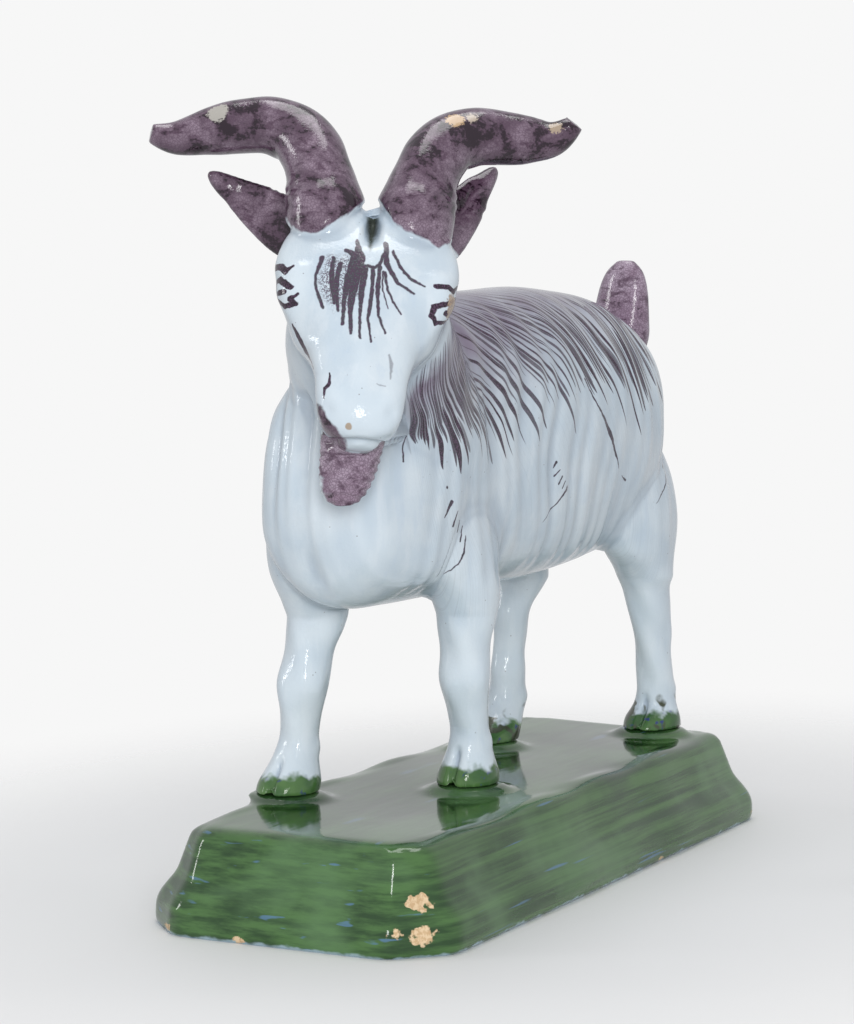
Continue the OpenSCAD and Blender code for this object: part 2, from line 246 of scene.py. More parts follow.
def ring(c, u, v, v_low, n, e=1.0):
    a = np.linspace(0, 2 * np.pi, n, endpoint=False)
    x = np.sign(np.cos(a)) * np.abs(np.cos(a)) ** e
    y = np.sign(np.sin(a)) * np.abs(np.sin(a)) ** e
    side = np.where(y[:, None] < 0, np.asarray(v_low, float), np.asarray(v, float))
    return np.asarray(c, float) + x[:, None] * np.asarray(u, float) + y[:, None] * side


# ---------------------------------------------------------------- the goat's measures, as in the solids

PLINTH_L, PLINTH_H, PAD_H = 163.0, 19.4, 1.2
TRUNK_L, TRUNK_W, TRUNK_H, BELLY_RISE = 126.0, 40.0, 60.0, 37.5
NECK_W, NECK_D, POLL_RISE = 33.0, 31.0, 73.5
HEAD_L, HEAD_W, MUZZLE_W = 46.5, 34.0, 17.0
HEAD_TURN, HEAD_PITCH, HEAD_ROLL = 28.0, 55.0, 3.0
HORN_REACH, HORN_RISE, HORN_SWEEP = 40.0, 18.2, 14.0
HORN_ROOT_D, HORN_TIP_D, HORN_CURL, HORN_UNEVEN = 14.0, 3.2, 6.5, 1.6
EAR_L, EAR_W, EAR_T = 23.0, 11.0, 3.6
BEARD_L, BEARD_W = 13.5, 11.6
TAIL_L, TAIL_W = 19.0, 12.0
JOINT_RISE, FORELEG_D, HINDLEG_D, PASTERN_D = 35.0, 12.0, 12.0, 7.4
HOOF_L, HOOF_W = 13.6, 12.0
STANCE_TURN, STANCE_SHIFT, RUMP_Y = -4.4, -4.6, 70.0
BELLY_Z = PLINTH_H + BELLY_RISE
PAD_Z = PLINTH_H + PAD_H
JOINT_Z = PLINTH_H + JOINT_RISE

GOAT_TURN = turn_about("Z", STANCE_TURN)
GOAT_SHIFT = np.array([STANCE_SHIFT, 0, 0])


def from_goat(p):
    return np.asarray(p) @ GOAT_TURN.T + GOAT_SHIFT


def to_goat(p):
    return (np.asarray(p) - GOAT_SHIFT) @ GOAT_TURN


POLL = np.array([8.9, -46.5, BELLY_Z + POLL_RISE])
HEAD_SPIN = turn_about("Z", HEAD_TURN - STANCE_TURN) @ turn_about("Y", HEAD_ROLL)


def from_head(p):
    return from_goat(np.asarray(p) @ HEAD_SPIN.T + POLL)


def to_head(p):
    return (to_goat(p) - POLL) @ HEAD_SPIN


# ---------------------------------------------------------------- the luted form


def trunk_form():
    rows = curve([
        [0, 0.6, 0.14, 0.1, 0.12], [0.012, 0.59, 0.42, 0.4, 0.4], [0.05, 0.56, 0.68, 0.6, 0.68],
        [0.12, 0.53, 0.89, 0.79, 0.88], [0.22, 0.51, 1.02, 0.95, 0.94], [0.38, 0.5, 1.03, 1.03, 0.98],
        [0.55, 0.5, 0.99, 1.02, 1], [0.7, 0.49, 0.93, 0.96, 0.98], [0.82, 0.47, 0.89, 0.86, 0.94],
        [0.91, 0.43, 0.79, 0.7, 0.84], [0.96, 0.4, 0.62, 0.54, 0.64], [0.99, 0.38, 0.36, 0.3, 0.34],
        [1, 0.37, 0.12, 0.1, 0.1]], np.linspace(0, 1, 80))
    w, h = TRUNK_W / 2, TRUNK_H / 2
    return np.array([ring([0, RUMP_Y - TRUNK_L * r[0], BELLY_Z + TRUNK_H * r[1]], [w * r[2], 0, 0],
                          [0, 0, h * r[3]], [0, 0, h * r[4]], 72, 0.9) for r in rows])


NECK_ROOT = np.array([0, -18, BELLY_Z + 26.0])
NECK_SEAT = np.array([6, -43, BELLY_Z + POLL_RISE - 21.5])
SEAT_NORMAL = unit([0, NECK_SEAT[1] - NECK_ROOT[1], NECK_SEAT[2] - NECK_ROOT[2]])
NAPE_WAY = np.cross(SEAT_NORMAL, [1, 0, 0])


def neck_form():
    w, d = NECK_W / 2, NECK_D / 2
    rings = [ring(NECK_ROOT + (NECK_SEAT - NECK_ROOT) * t, [w + 2 * (1 - t), 0, 0],
                  NAPE_WAY * (d + 2 * (1 - t)), NAPE_WAY * (d + 7 * (1 - t)), 64)
             for t in np.linspace(0, 0.98, 14)]
    for r in curve([[0, 1, 1], [5, 0.95, 0.92], [11, 0.8, 0.75], [16, 0.6, 0.5]], np.linspace(0, 1, 14)):
        rings.append(ring(NECK_SEAT + SEAT_NORMAL * r[0] + [r[0] * 0.15, 0, 0], [w * r[1], 0, 0],
                          NAPE_WAY * d * r[2], NAPE_WAY * d * r[2], 64))
    return np.array(rings)


FOOT = {"foreleg_left": (12.4, 16.5), "foreleg_right": (-12.8, 42.9),
        "hindleg_left": (11.3, -64.1), "hindleg_right": (-10.7, -30.0)}
LEG_TOP = {"foreleg_left": (13.0, 18.0), "foreleg_right": (-10.6, 35.5),
           "hindleg_left": (12.0, -59.5), "hindleg_right": (-10.8, -44.5)}
LAG = {"hindleg_left": 2.6, "hindleg_right": 5.0}
BOW = {"hindleg_left": 0.0, "hindleg_right": 3.0}


def leg_form(name):
    w, l, p = HOOF_W / 2, HOOF_L / 2, PASTERN_D / 2
    if name.startswith("fore"):
        t = FORELEG_D / 2
        table = [[0, 0, w, l], [0.06, -0.2, w, l - 0.3], [0.14, -0.6, w * 0.84, l * 0.8],
                 [0.22, -0.8, p + 0.5, p + 0.8], [0.31, -0.8, p, p + 0.2], [0.42, -0.3, p + 0.35, p + 0.6],
                 [0.54, 0.5, p + 0.8, p + 1.3], [0.66, 0.8, p + 1.1, p + 1.4], [0.8, 0.5, p + 1.2, p + 1.3],
                 [0.92, 0.2, t - 0.4, t - 0.4], [1, 0, t, t]]
    else:
        t, lag, bow = HINDLEG_D / 2, LAG[name], BOW[name]
        table = [[0, -lag * 0.1, w, l + lag * 0.3], [0.06, -lag * 0.3, w, l - 0.4],
                 [0.14, -lag * 0.8, w * 0.8, l * 0.72], [0.22, -lag, p + 0.4, p + 0.9],
                 [0.31, bow * 0.2 - lag, p + 0.2, p + 0.5], [0.42, bow * 0.5 - lag * 0.9, p + 0.1, p + 0.5],
                 [0.54, bow * 0.8 - lag * 0.8, p - bow * 0.15, p + 0.8 - bow * 0.3],
                 [0.66, bow - lag * 0.7, p + 0.2 - bow * 0.2, p + 1.4 - bow * 0.4],
                 [0.8, bow - lag * 0.4, p + 0.7 - bow * 0.1, p + 1.8 - bow * 0.3],
                 [0.92, bow * 0.3 - lag * 0.15, t - 1, t - 0.2], [1, 0, t, t + 0.6]]
    foot, top = np.array(FOOT[name]), np.array(LEG_TOP[name])
    rings = []
    for r in curve(table, np.linspace(0, 1, 60)):
        x, y = foot + (top - foot) * r[0]
        rings.append(ring([x, -y - r[1], PAD_Z + (JOINT_Z - PAD_Z) * r[0]], [r[2], 0, 0], [0, r[3], 0],
                          [0, r[3], 0], 48))
    side = math.copysign(1, top[0])
    if name.startswith("fore"):
        stub = [[0, 0, 0, t, t], [2.5, 0, 0.3, t + 0.5, t + 1], [7, -0.2, 1, t + 1.2, t + 3],
                [13, -0.8, 1.6, t + 1.6, t + 5], [20, -2, 2, t + 1, t + 5.5], [27, -4, 1.5, t - 1, t + 3]]
    else:
        stub = [[0, 0, 0, t, t + 0.6], [2.5, 0, 1, t + 0.2, t + 2], [7, 0, 3, t + 0.8, t + 5],
                [14, -0.4, 5, t + 1.6, t + 7.4], [22, -1.4, 6.4, t + 1.2, t + 8.5],
                [30, -2.6, 6.4, t - 0.8, t + 6]]
    for r in curve(stub, np.linspace(0, 1, 40))[1:]:
        rings.append(ring([top[0] + side * r[1], -top[1] - r[2], JOINT_Z + r[0]], [r[3], 0, 0],
                          [0, r[4], 0], [0, r[4], 0], 48))
    return np.array(rings)


def skull_form():
    w, m = HEAD_W / 2, MUZZLE_W / 2
    table = [[HEAD_L * r[0], w * r[1], r[2], r[3]] for r in [
        [-0.05, 0.24, 0.5, 4], [-0.02, 0.56, 2.4, 9], [0.05, 0.86, 4.4, 13], [0.19, 1, 5.8, 16.5],
        [0.32, 0.95, 6, 17], [0.43, 0.86, 5.6, 16], [0.52, 0.75, 5, 14], [0.61, 0.61, 4.6, 12]]]
    table += [[HEAD_L * r[0], m * r[1], r[2], r[3]] for r in [
        [0.72, 1.02, 4.5, 10.6], [0.82, 0.96, 4.4, 9.8], [0.92, 0.86, 3.9, 8.6], [0.975, 0.62, 2.6, 6.2],
        [1, 0.25, 0.8, 2.6]]]
    pitch = turn_about("X", HEAD_PITCH)
    return np.array([ring([0, -r[0], 0], [r[1], 0, 0], [0, 0, r[2]], [0, 0, r[3]], 64, 0.95) @ pitch.T
                     for r in curve(table, np.linspace(0, 1, 70))])


HORN_TABLE = [
    [0.16, -0.5, -0.1, 1.06], [0.2, 0, 0, 1], [0.23, 0.36, 0.21, 0.98], [0.29, 0.72, 0.5, 0.94],
    [0.38, 0.93, 0.75, 0.88], [0.56, 1, 0.93, 0.8], [0.74, 0.91, 1, 0.68], [0.89, 0.82, 0.96, 0.42],
    [1, 0.86, 0.9, 0.16]]
HORN_SEAT_T = 1 / 8


def horn_line(side, t):
    """Centre line points and radii of a horn in the head's frame."""
    r = curve(HORN_TABLE, t)
    late = np.maximum(0, t - 0.6) / 0.4
    curl = HORN_CURL if side > 0 else 0
    stretch = late * (-HORN_UNEVEN if side > 0 else 2 * HORN_UNEVEN)
    line = np.stack([side * (HORN_REACH * r[:, 0] + stretch), HORN_SWEEP * r[:, 2],
                     HORN_RISE * r[:, 1] + curl * late ** 1.5], 1)
    radius = HORN_TIP_D / 2 + (HORN_ROOT_D - HORN_TIP_D) / 2 * (r[:, 3] - 0.16) / 0.84
    return line, radius * np.interp(t, [0.15, 0.35, 0.8, 0.95], [1, 0.93, 0.95, 1.1])


def horn_form(side):
    t = np.linspace(0.005, 0.985, 90)
    line, radius = horn_line(side, t)
    after, _ = horn_line(side, t + 0.01)
    before, _ = horn_line(side, t - 0.01)
    rings = []
    for p, r, way in zip(line, radius, after - before):
        axis = unit(way)
        u = unit(np.cross([0, 1, 0], axis))
        rings.append(ring(p, u * r, np.cross(axis, u) * r, np.cross(axis, u) * r, 40))
    return np.array(rings)


EAR_WAY = {1: unit([11.2, 12, 14.4]), -1: unit([-19.6, 4, 12.2])}
EAR_ROOT = {side: np.array([side * 11, 9.5, -4]) for side in (1, -1)}


def ear_form(side):
    way = EAR_WAY[side]
    u = unit(np.cross([0, 1, 0], way))
    v = np.cross(way, u)
    reach = EAR_L * (1.08 if side > 0 else 1.06)
    table = [[-0.1, 0.7, 1.2], [0.02, 0.92, 1.25], [0.25, 1, 1.2], [0.5, 0.82, 1.1], [0.75, 0.52, 0.95],
             [0.93, 0.28, 0.8], [1, 0.1, 0.4]]
    return np.array([ring(EAR_ROOT[side] + way * r[0] * reach, u * r[1] * EAR_W / 2, v * r[2] * EAR_T / 2,
                          v * r[2] * EAR_T / 2, 40) for r in curve(table, np.linspace(0, 1, 44))])


BEARD_ROOT_Z = -38


def beard_form():
    rows = curve([[0.35, 0.9, 5], [0, 1, 5.4], [-0.3, 0.96, 5], [-0.6, 0.86, 4], [-0.85, 0.66, 2.8],
                  [-1, 0.36, 1.5]], np.linspace(0, 1, 40))
    rings = [ring([r[0] * 1.2, r[0] * 1.5, r[0] * BEARD_L], [BEARD_W / 2 * r[1], 0, 0], [0, -r[2], 0],
                  [0, -r[2], 0], 40) for r in rows]
    return np.array(rings) + [-1.2, -13.5, BEARD_ROOT_Z]


def tail_form():
    table = [[-3, 0.95, 4.6], [2, 1.16, 4.8], [0.3 * TAIL_L, 1.14, 4.2], [0.65 * TAIL_L, 0.98, 3.2],
             [0.87 * TAIL_L, 0.72, 2.4], [TAIL_L, 0.3, 1.2]]
    lean = turn_about("X", -3)
    rings = [ring([-0.9 + 0.07 * r[0], 0, r[0]], [TAIL_W / 2 * r[1], 0, 0], [0, r[2], 0], [0, r[2], 0], 40)
             for r in curve(table, np.linspace(0, 1, 44))]
    return np.array(rings) @ lean.T + [-0.4, RUMP_Y + 1.5, BELLY_Z + TRUNK_H * 0.78]


# ---------------------------------------------------------------- one skin from all the forms


def join_forms(forms):
    points, faces, start = [], [], 0
    for p, f in forms:
        points.append(p)
        faces += [[i + start for i in face] for face in f]
        start += len(p)
    return np.vstack(points), faces


def placed(rings, place):
    p, f = loft(rings)
    return place(p), f


def shell_of(points, faces, voxel):
    """The outer surface of overlapping closed forms, as quads of one size."""
    mesh = bpy.data.meshes.new("forms")
    mesh.from_pydata(points.tolist(), [], faces)
    holder = add_object("forms", mesh)
    remesh = holder.modifiers.new("remesh", "REMESH")
    remesh.mode, remesh.voxel_size, remesh.adaptivity = "VOXEL", voxel, 0
    result = bpy.data.meshes.new_from_object(holder.evaluated_get(bpy.context.evaluated_depsgraph_get()))
    bpy.data.objects.remove(holder)
    return result


def read_points(mesh):
    p = np.empty(len(mesh.vertices) * 3)
    mesh.vertices.foreach_get("co", p)
    return p.reshape(-1, 3)


def read_edges(mesh):
    e = np.empty(len(mesh.edges) * 2, int)
    mesh.edges.foreach_get("vertices", e)
    return e.reshape(-1, 2)


def read_normals(mesh):
    n = np.empty(len(mesh.vertices) * 3)
    mesh.vertex_normals.foreach_get("vector", n)
    return n.reshape(-1, 3)


def averaged(values, edges, count):
    """Mean of the neighbours' values at each vertex."""
    i = np.concatenate([edges[:, 0], edges[:, 1]])
    j = np.concatenate([edges[:, 1], edges[:, 0]])
    return np.stack([np.bincount(i, values[j, k], len(values)) for k in range(values.shape[1])], 1) / count


def relaxed(points, edges, rounds, share=0.5, back=0.0):
    count = np.bincount(edges.ravel(), minlength=len(points))[:, None].astype(float)
    for _ in range(rounds):
        points = points + share * (averaged(points, edges, count) - points)
        if back:
            points = points - back * (averaged(points, edges, count) - points)
    return points


def put_points(mesh, points):
    mesh.vertices.foreach_set("co", points.ravel())
    mesh.update()


def bump(q, centre, size, power=2.0):
    """1 at the centre and 0 a few sizes away; size is one number or one per axis."""
    d = ((q - np.asarray(centre)) / np.asarray(size)) ** 2
    return np.exp(-d.sum(1) ** (power / 2))


def fade(x, low, high):
    t = np.clip((x - low) / (high - low), 0, 1)
    return t * t * (3 - 2 * t)


def ridge_noise(x, seed, octaves=3):
    """Smooth wandering wave of a number, about -1 to 1."""
    rng = np.random.default_rng(seed)
    out = 0
    for k in range(octaves):
        out = out + np.sin(x * (1 + 0.83 * k) + rng.uniform(0, 6.28)) / (1 + k)
    return out / 1.6


ALL_FORMS = [placed(trunk_form(), from_goat), placed(neck_form(), from_goat), placed(skull_form(), from_head)]
ALL_FORMS += [placed(leg_form(name), from_goat) for name in FOOT]
ALL_FORMS += [placed(horn_form(side), from_head) for side in (1, -1)]
ALL_FORMS += [placed(ear_form(side), from_head) for side in (1, -1)]
ALL_FORMS += [placed(beard_form(), from_head), placed(tail_form(), from_goat)]

VOXEL = 0.45
skin = shell_of(*join_forms(ALL_FORMS), VOXEL)
edges = read_edges(skin)
points = relaxed(read_points(skin), edges, 8, 0.5, 0.52)
put_points(skin, points)

# Clay pressed into the creases where two pieces were luted together.
FILLET = 2.3
rounds = int((FILLET / (0.5 * VOXEL)) ** 2)
soft = relaxed(points, edges, rounds)
normals = read_normals(skin)
outward = ((soft - points) * normals).sum(1)
share = fade(outward, 0.02, 0.35)
thin_part = fade(to_goat(points)[:, 2], PAD_Z + 1, PAD_Z + 4)
points = points + (soft - points) * (share * thin_part)[:, None]
points = relaxed(points, edges, 4, 0.5, 0.5)
put_points(skin, points)
print("skin", len(points), "points")


# ---------------------------------------------------------------- modelling by thumb and knife

# Lower edge of the purple on the forehead under each horn: [across, up] in the head's frame.
PURPLE_EDGE = np.array([
    [-18, 6], [-16.1, 1.3], [-14.5, -0.9], [-12.5, -1.9], [-9.8, -1.7], [-7, 0.1], [-4.5, 1.9], [-2, 3.7],
    [0, 7], [2.5, 3.9], [4.5, 1.1], [7.2, -0.5], [10.2, -1.8], [12.9, -3.1], [14.8, -2.9],
    [16, -0.2], [18, 6]])


def above_purple_edge(q):
    return q[:, 2] - np.interp(q[:, 0], *PURPLE_EDGE.T)


# Swellings and hollows: [height, centre, size], on both sides of the middle.
BODY_SWELLS = [
    [0.9, (18, -31, 82), (8, 9, 13)], [-0.8, (19, -14, 70), (8, 6, 9)], [-0.9, (18, 36, 70), (8, 8, 9)],
    [0.8, (18, 53, 80), (8, 10, 12)], [1.1, (10, -47, 72), (6, 8, 7)], [2.2, (14.5, -35, 65), (6, 7, 8)],
    [-0.7, (20, -20, 66), (8, 4.5, 9)]]
HEAD_SWELLS = [
    [-0.9, (11.5, -17.5, -20), (3.6, 4, 5)], [0.6, (12.5, -10, -22.5), (3, 6, 3.4)],
    [-0.5, (5.9, -27.4, -33.2), (1.3, 2.2, 1.2)], [0.3, (5.6, -26.4, -31), (3.4, 3.6, 3)]]
EYES = [(-14.4, -11.4, -12.8), (14.6, -11.6, -13.4)]


def swells(q, rows):
    return sum(height * (bump(q, (x, y, z), size) + bump(q, (-x, y, z), size))
               for height, (x, y, z), size in rows)


def hump(x, width):
    return np.exp(-(x / width) ** 2)


def head_relief(q):
    """Eyes under heavy lids, cheeks, nostrils, bridge of the nose, horns' feet and mouth."""
    x, y, z = q.T
    lift = swells(q, HEAD_SWELLS)
    for cx, cy, cz in EYES:
        lift += 1.1 * bump(q, (cx, cy, cz), (4.2, 4.2, 3.4)) + 0.7 * bump(q, (cx, cy, cz + 4.2), (4, 5, 1.7))
    lift += 0.5 * hump(x, 2.6) * fade(z, -34, -28) * fade(-z, 12, 18) * fade(-y, 8, 14)
    lift -= 0.5 * bump(q, (0, -9, -4.5), (2.6, 7, 4))
    lift += 0.75 * fade(-y, -6, -1) * fade(-z, -9, -4) * fade(above_purple_edge(q), -0.7, 0.5)
    mouth = z + 38.9 + 0.018 * x ** 2 + 0.05 * (y + 26)
    lift -= 0.8 * hump(mouth, 0.55) * fade(-y, 14, 19)
    return lift + 0.35 * hump(mouth + 1.4, 0.9) * fade(-y, 15, 20)


def coat_folds(g):
    """Wandering folds down the chest and neck and across the flank, and dents left by fingers."""
    x, y, z = g.T
    wander = 2.4 * np.sin(z / 13 + x / 17) + 1.6 * np.sin(z / 6.1 + y / 15)
    folds = ridge_noise((y + wander) / 1.7 + 0.5 * np.sin(z / 9), 3)
    chest = ridge_noise((x + 0.78 * wander) / 1.25, 5)
    front = fade(-y, 34, 46)
    amount = 0.3 + 0.14 * np.sin(y / 9 + z / 12) + 0.1 * front
    amount = amount * (1 - front * (0.75 - 0.75 * fade(z, 68, 88)))
    dents = np.sin(y / 8.3 + z / 7.1) * np.sin(z / 9.7 - x / 6.7 + 1.3) + 0.6 * np.sin(y / 4.1 - z / 5.3)
    return amount * ((1 - front) * folds + front * chest) * fade(np.abs(x) + front * 30, 5, 14) + 0.16 * dents


def leg_relief(g, name):
    """Knee or hock, pastern, the cleft of the hoof and slow unevenness down the shank."""
    x, y, z = g.T
    foot, top = FOOT[name], LEG_TOP[name]
    rise = np.clip((z - PAD_Z) / (JOINT_Z - PAD_Z), 0, 1)
    cx = foot[0] + (top[0] - foot[0]) * rise
    cy = -(foot[1] + (top[1] - foot[1]) * rise) + LAG.get(name, 0.8) * (1 - rise)
    near = np.exp(-(((x - cx) ** 2 + (y - cy) ** 2) / 110) ** 3) * fade(-z, -JOINT_Z - 3, -JOINT_Z + 4)
    if name.startswith("fore"):
        lift = 0.45 * hump(z - 41.5, 3) * fade(cy - y, 0, 3)
    else:
        lift = 0.5 * hump(z - 41, 3.4) * fade(y - cy, 0, 3)
    lift += 0.4 * hump(z - 29, 1.6) * fade(y - cy, -1, 3)
    low = fade(-z, -PAD_Z - 8.5, -PAD_Z - 5.5)
    lift -= 1.5 * hump(x - foot[0], 0.75) * fade(-y - foot[1], 1.0, 4.5) * low
    return near * (lift + 0.14 * np.sin(z / 2.7 + x) * fade(z, 26, 32))


def ear_hollow(q, facing, side):
    way, root = EAR_WAY[side], EAR_ROOT[side]
    wide = unit(np.cross([0, 1, 0], way))
    along, across = (q - root) @ way, (q - root) @ wide
    within = np.linalg.norm(q - root - along[:, None] * way, axis=1) < 6.5
    inner = fade(-(facing @ np.cross(way, wide)), 0.3, 0.8)
    return -0.9 * fade(along, 7, 11) * fade(-along, -20, -16) * hump(across, 2.2) * within * inner


def horn_rings(q, side):
    """Growth rings felt by the fingers."""
    line, _ = horn_line(side, np.linspace(0.1, 0.98, 60))
    near = np.linalg.norm(q - line[30], axis=1) < 34
    far = (q[:, 2] > 0.5) & near & (side * q[:, 0] > 1.5)
    turn = np.arctan2(q[:, 2] - 4, side * q[:, 0] - 18)
    return np.where(far, 0.12 * np.sin(turn * 9 + 0.8 * np.sin(turn * 5)), 0) * fade(q[:, 2], 1, 4)


def model_details(points, normals):
    g, q = to_goat(points), to_head(points)
    facing = normals @ (GOAT_TURN @ HEAD_SPIN)
    on_head = fade((g - NECK_SEAT) @ SEAT_NORMAL, -2, 2)
    trunk = fade(g[:, 2], 57, 64) * (1 - on_head)
    breastbone = -1.3 * bump(g, (0, -49, 66), (2.6, 7, 7))
    lift = head_relief(q) * on_head + (coat_folds(g) + swells(g, BODY_SWELLS) + breastbone) * trunk
    lift += sum(leg_relief(g, name) for name in FOOT)
    beard = bump(q, (-1.2, -14, -46), (9, 9, 8), 6) * fade(-q[:, 2], 38.5, 41)
    lift += 0.16 * beard * np.sin(q[:, 2] * 4.2 + np.sin(q[:, 0] * 0.8))
    lift += sum(ear_hollow(q, facing, side) + horn_rings(q, side) for side in (1, -1))
    points = points + normals * lift[:, None]
    # the notch between the horns, running down into the vent that let steam out in the kiln
    notch = 2.4 * hump(q[:, 0] - 0.6, 1.3) * fade(q[:, 2], -4.2, -1.6) * fade(-q[:, 2], -8, -4)
    vent = 3.6 * np.exp(-(((q[:, 0] - 0.6) / 1.1) ** 2 + ((q[:, 2] + 0.5) / 1.7) ** 2) ** 1.5)
    inward = GOAT_TURN @ HEAD_SPIN @ np.array([0, 1.0, 0])
    return points + ((notch + vent) * on_head * fade(-q[:, 1], -1, 3))[:, None] * inward


points = model_details(points, read_normals(skin))
points = relaxed(points, edges, 2, 0.4, 0.4)
put_points(skin, points)


# ---------------------------------------------------------------- what each point knows of the painting

def past_horn_seat(q, side):
    """Distance up the horn past its seat, kept to what lies within the horn's own thickness."""
    t = np.linspace(HORN_SEAT_T - 0.12, 0.985, 80)
    line, radius = horn_line(side, t)
    out = np.full(len(q), -9.0)
    near = np.nonzero((q[:, 2] > -8) & (side * q[:, 0] > -4) & (side * q[:, 0] < 50))[0]
    gap = np.linalg.norm(q[near][:, None, :] - line[None], axis=2)
    nearest = gap.argmin(1)
    run = np.concatenate([[0], np.cumsum(np.linalg.norm(np.diff(line, axis=0), axis=1))])
    seat = np.interp(HORN_SEAT_T, t, run)
    k = np.arange(len(near))
    # slide along the line so that the distance varies smoothly between its points
    way = np.gradient(line, axis=0)
    way /= np.linalg.norm(way, axis=1)[:, None]
    slide = ((q[near] - line[nearest]) * way[nearest]).sum(1)
    along = run[nearest] + slide - seat
    skin_gap = gap[k, nearest] - radius[nearest]
    out[near] = np.clip(np.minimum(along, 3.2 - skin_gap), -9, 90)
    return out


def past_ear_root(q, side):
    along = (q - EAR_ROOT[side]) @ EAR_WAY[side]
    gap = np.linalg.norm(q - EAR_ROOT[side] - along[:, None] * EAR_WAY[side], axis=1)
    return np.clip(np.minimum(along - 3.4, 7.6 - gap), -9, 90)


def past_jaw(q):
    """Distance down the beard from the jaw, kept to the beard's own thickness."""
    down = np.clip((BEARD_ROOT_Z - q[:, 2]) / BEARD_L, -0.3, 1.05)
    middle = np.stack([np.full(len(q), -1.2), -13.5 - 1.5 * down, q[:, 2]], 1)
    wide = BEARD_W / 2 * np.interp(down, [-0.3, 0, 0.3, 0.6, 0.85, 1.05], [0.9, 1, 0.96, 0.86, 0.66, 0.4])
    deep = np.interp(down, [-0.3, 0, 0.3, 0.6, 0.85, 1.05], [5.2, 5.4, 5, 4, 2.6, 1.2])
    gap = np.hypot((q - middle)[:, 0] / (wide + 1.1), (q - middle)[:, 1] / (deep + 1.1))
    return np.clip(np.minimum.reduce([-38.6 - q[:, 2], (1 - gap) * 5, q[:, 2] + 54]), -9, 9)


def past_rump(g):
    """Distance out along the tail from the rump."""
    out = g[:, 2] - 104.8 + (g[:, 1] - RUMP_Y) * 0.9
    return np.clip(np.minimum.reduce([out, g[:, 1] - 62, 9 - np.abs(g[:, 0])]), -9, 9)


g_points, q_points = to_goat(points), to_head(points)
FIELDS = {
    "horn_left": past_horn_seat(q_points, 1), "horn_right": past_horn_seat(q_points, -1),
    "ear_left": past_ear_root(q_points, 1), "ear_right": past_ear_root(q_points, -1),
    "beard": past_jaw(q_points), "tail": past_rump(g_points),
}
purple = np.maximum.reduce(list(FIELDS.values()))
FIELDS["legs"] = np.clip(JOINT_Z - points[:, 2], -9, 9)
FIELDS["head"] = np.clip((g_points - NECK_SEAT) @ SEAT_NORMAL, -9, 9)
taken = np.maximum.reduce([purple, FIELDS["legs"], FIELDS["head"]])
FIELDS["side"] = np.where(taken < 1.5, np.clip(g_points[:, 0], -9, 9), 9.0)


def chart(guides, place, ease=0.02):
    """Smooth fields over a plane that pass through guide rows of [values..., a, b] at their a, b."""
    known, centre = guides[:, :-2], guides[:, -2:]

    def kernel(p):
        r2 = ((p[:, None] - centre[None]) ** 2).sum(2) + 1e-9
        return r2 * np.log(r2) * 0.5

    n = len(guides)
    system = np.zeros((n + 3, n + 3))
    system[:n, :n] = kernel(centre) + np.eye(n) * ease * 1000
    system[:n, n:] = np.column_stack([np.ones(n), centre])
    system[n:, :n] = system[:n, n:].T
    weights = np.linalg.solve(system, np.vstack([known, np.zeros((3, known.shape[1]))]))
    return kernel(place) @ weights[:n] + np.column_stack([np.ones(len(place)), place]) @ weights[n:]


# Strokes of the coat, from the spine down the side: [stroke line, share of its length, back, girth].
COAT_GUIDES = np.array([
    [0, 0, -48.7, 25.8], [0, 0.33, -46.4, 28.9], [0, 0.67, -43.9, 33.4], [0, 1, -41.3, 40.4],
    [1, 0.33, -45.3, 28.2], [1, 0.67, -40.5, 35.9], [1, 1, -36.6, 47.4], [2, 0.33, -41.4, 27.3],
    [2, 0.67, -34.8, 33.7], [2, 1, -28.6, 45.1], [3, 0.33, -34.1, 25.2], [3, 0.67, -27.0, 33.8],
    [3, 1, -20.0, 49.0], [4, 0.33, -27.2, 22.4], [4, 0.67, -15.3, 29.2], [4, 1, -6.8, 49.5],
    [5, 0, -14.8, 7.6], [5, 0.33, -9.7, 15.9], [5, 0.67, -4.6, 25.7], [5, 1, 4.3, 43.1],
    [6, 0, -9.4, 6.4], [6, 0.33, -0.2, 13.1], [6, 0.67, 11.2, 22.2], [6, 1, 18.6, 38.6],
    [7, 0, 0.7, 5.1], [7, 0.33, 11.7, 9.8], [7, 0.67, 19.8, 19.4], [7, 1, 27.4, 33.9],
    [8, 0, 17.0, 2.4], [8, 0.33, 24.2, 10.6], [8, 0.67, 29.1, 20.3], [8, 1, 39.2, 43.7],
    [9, 0.33, 38.9, 6.3], [9, 0.67, 41.0, 17.2], [9, 1, 45.1, 38.8], [10, 0.67, 46.4, 18.0],
    [10, 1, 52.2, 34.8]])

girth = 27 * np.arctan2(np.abs(g_points[:, 0]), g_points[:, 2] - 88)
unrolled = np.column_stack([g_points[:, 1], girth])
coat = chart(COAT_GUIDES, unrolled)
step = 0.5
slope = [(chart(COAT_GUIDES, unrolled + move)[:, 0] - coat[:, 0]) / step for move in ([step, 0], [0, step])]

# ridges, where the glaze runs thin
flat_points = relaxed(points, edges, 10)
crest = ((points - flat_points) * read_normals(skin)).sum(1)
crest = relaxed(crest[:, None], edges, 2)[:, 0]

# broad swells and hollows, for painted light on the swells and painted shade in the hollows
SHADING_REACH = 3.2
broad = relaxed(points, edges, int((SHADING_REACH / (0.5 * VOXEL)) ** 2))
swell = ((points - broad) * read_normals(skin)).sum(1)

under_horns = (np.abs(q_points[:, 0]) < 17) & (q_points[:, 2] > -5) & (q_points[:, 1] < 6)
edge_of_horns = np.clip(above_purple_edge(q_points), -9, 9)
purple = np.where(under_horns, np.maximum(edge_of_horns, np.where(q_points[:, 2] > 9, purple, -9)), purple)

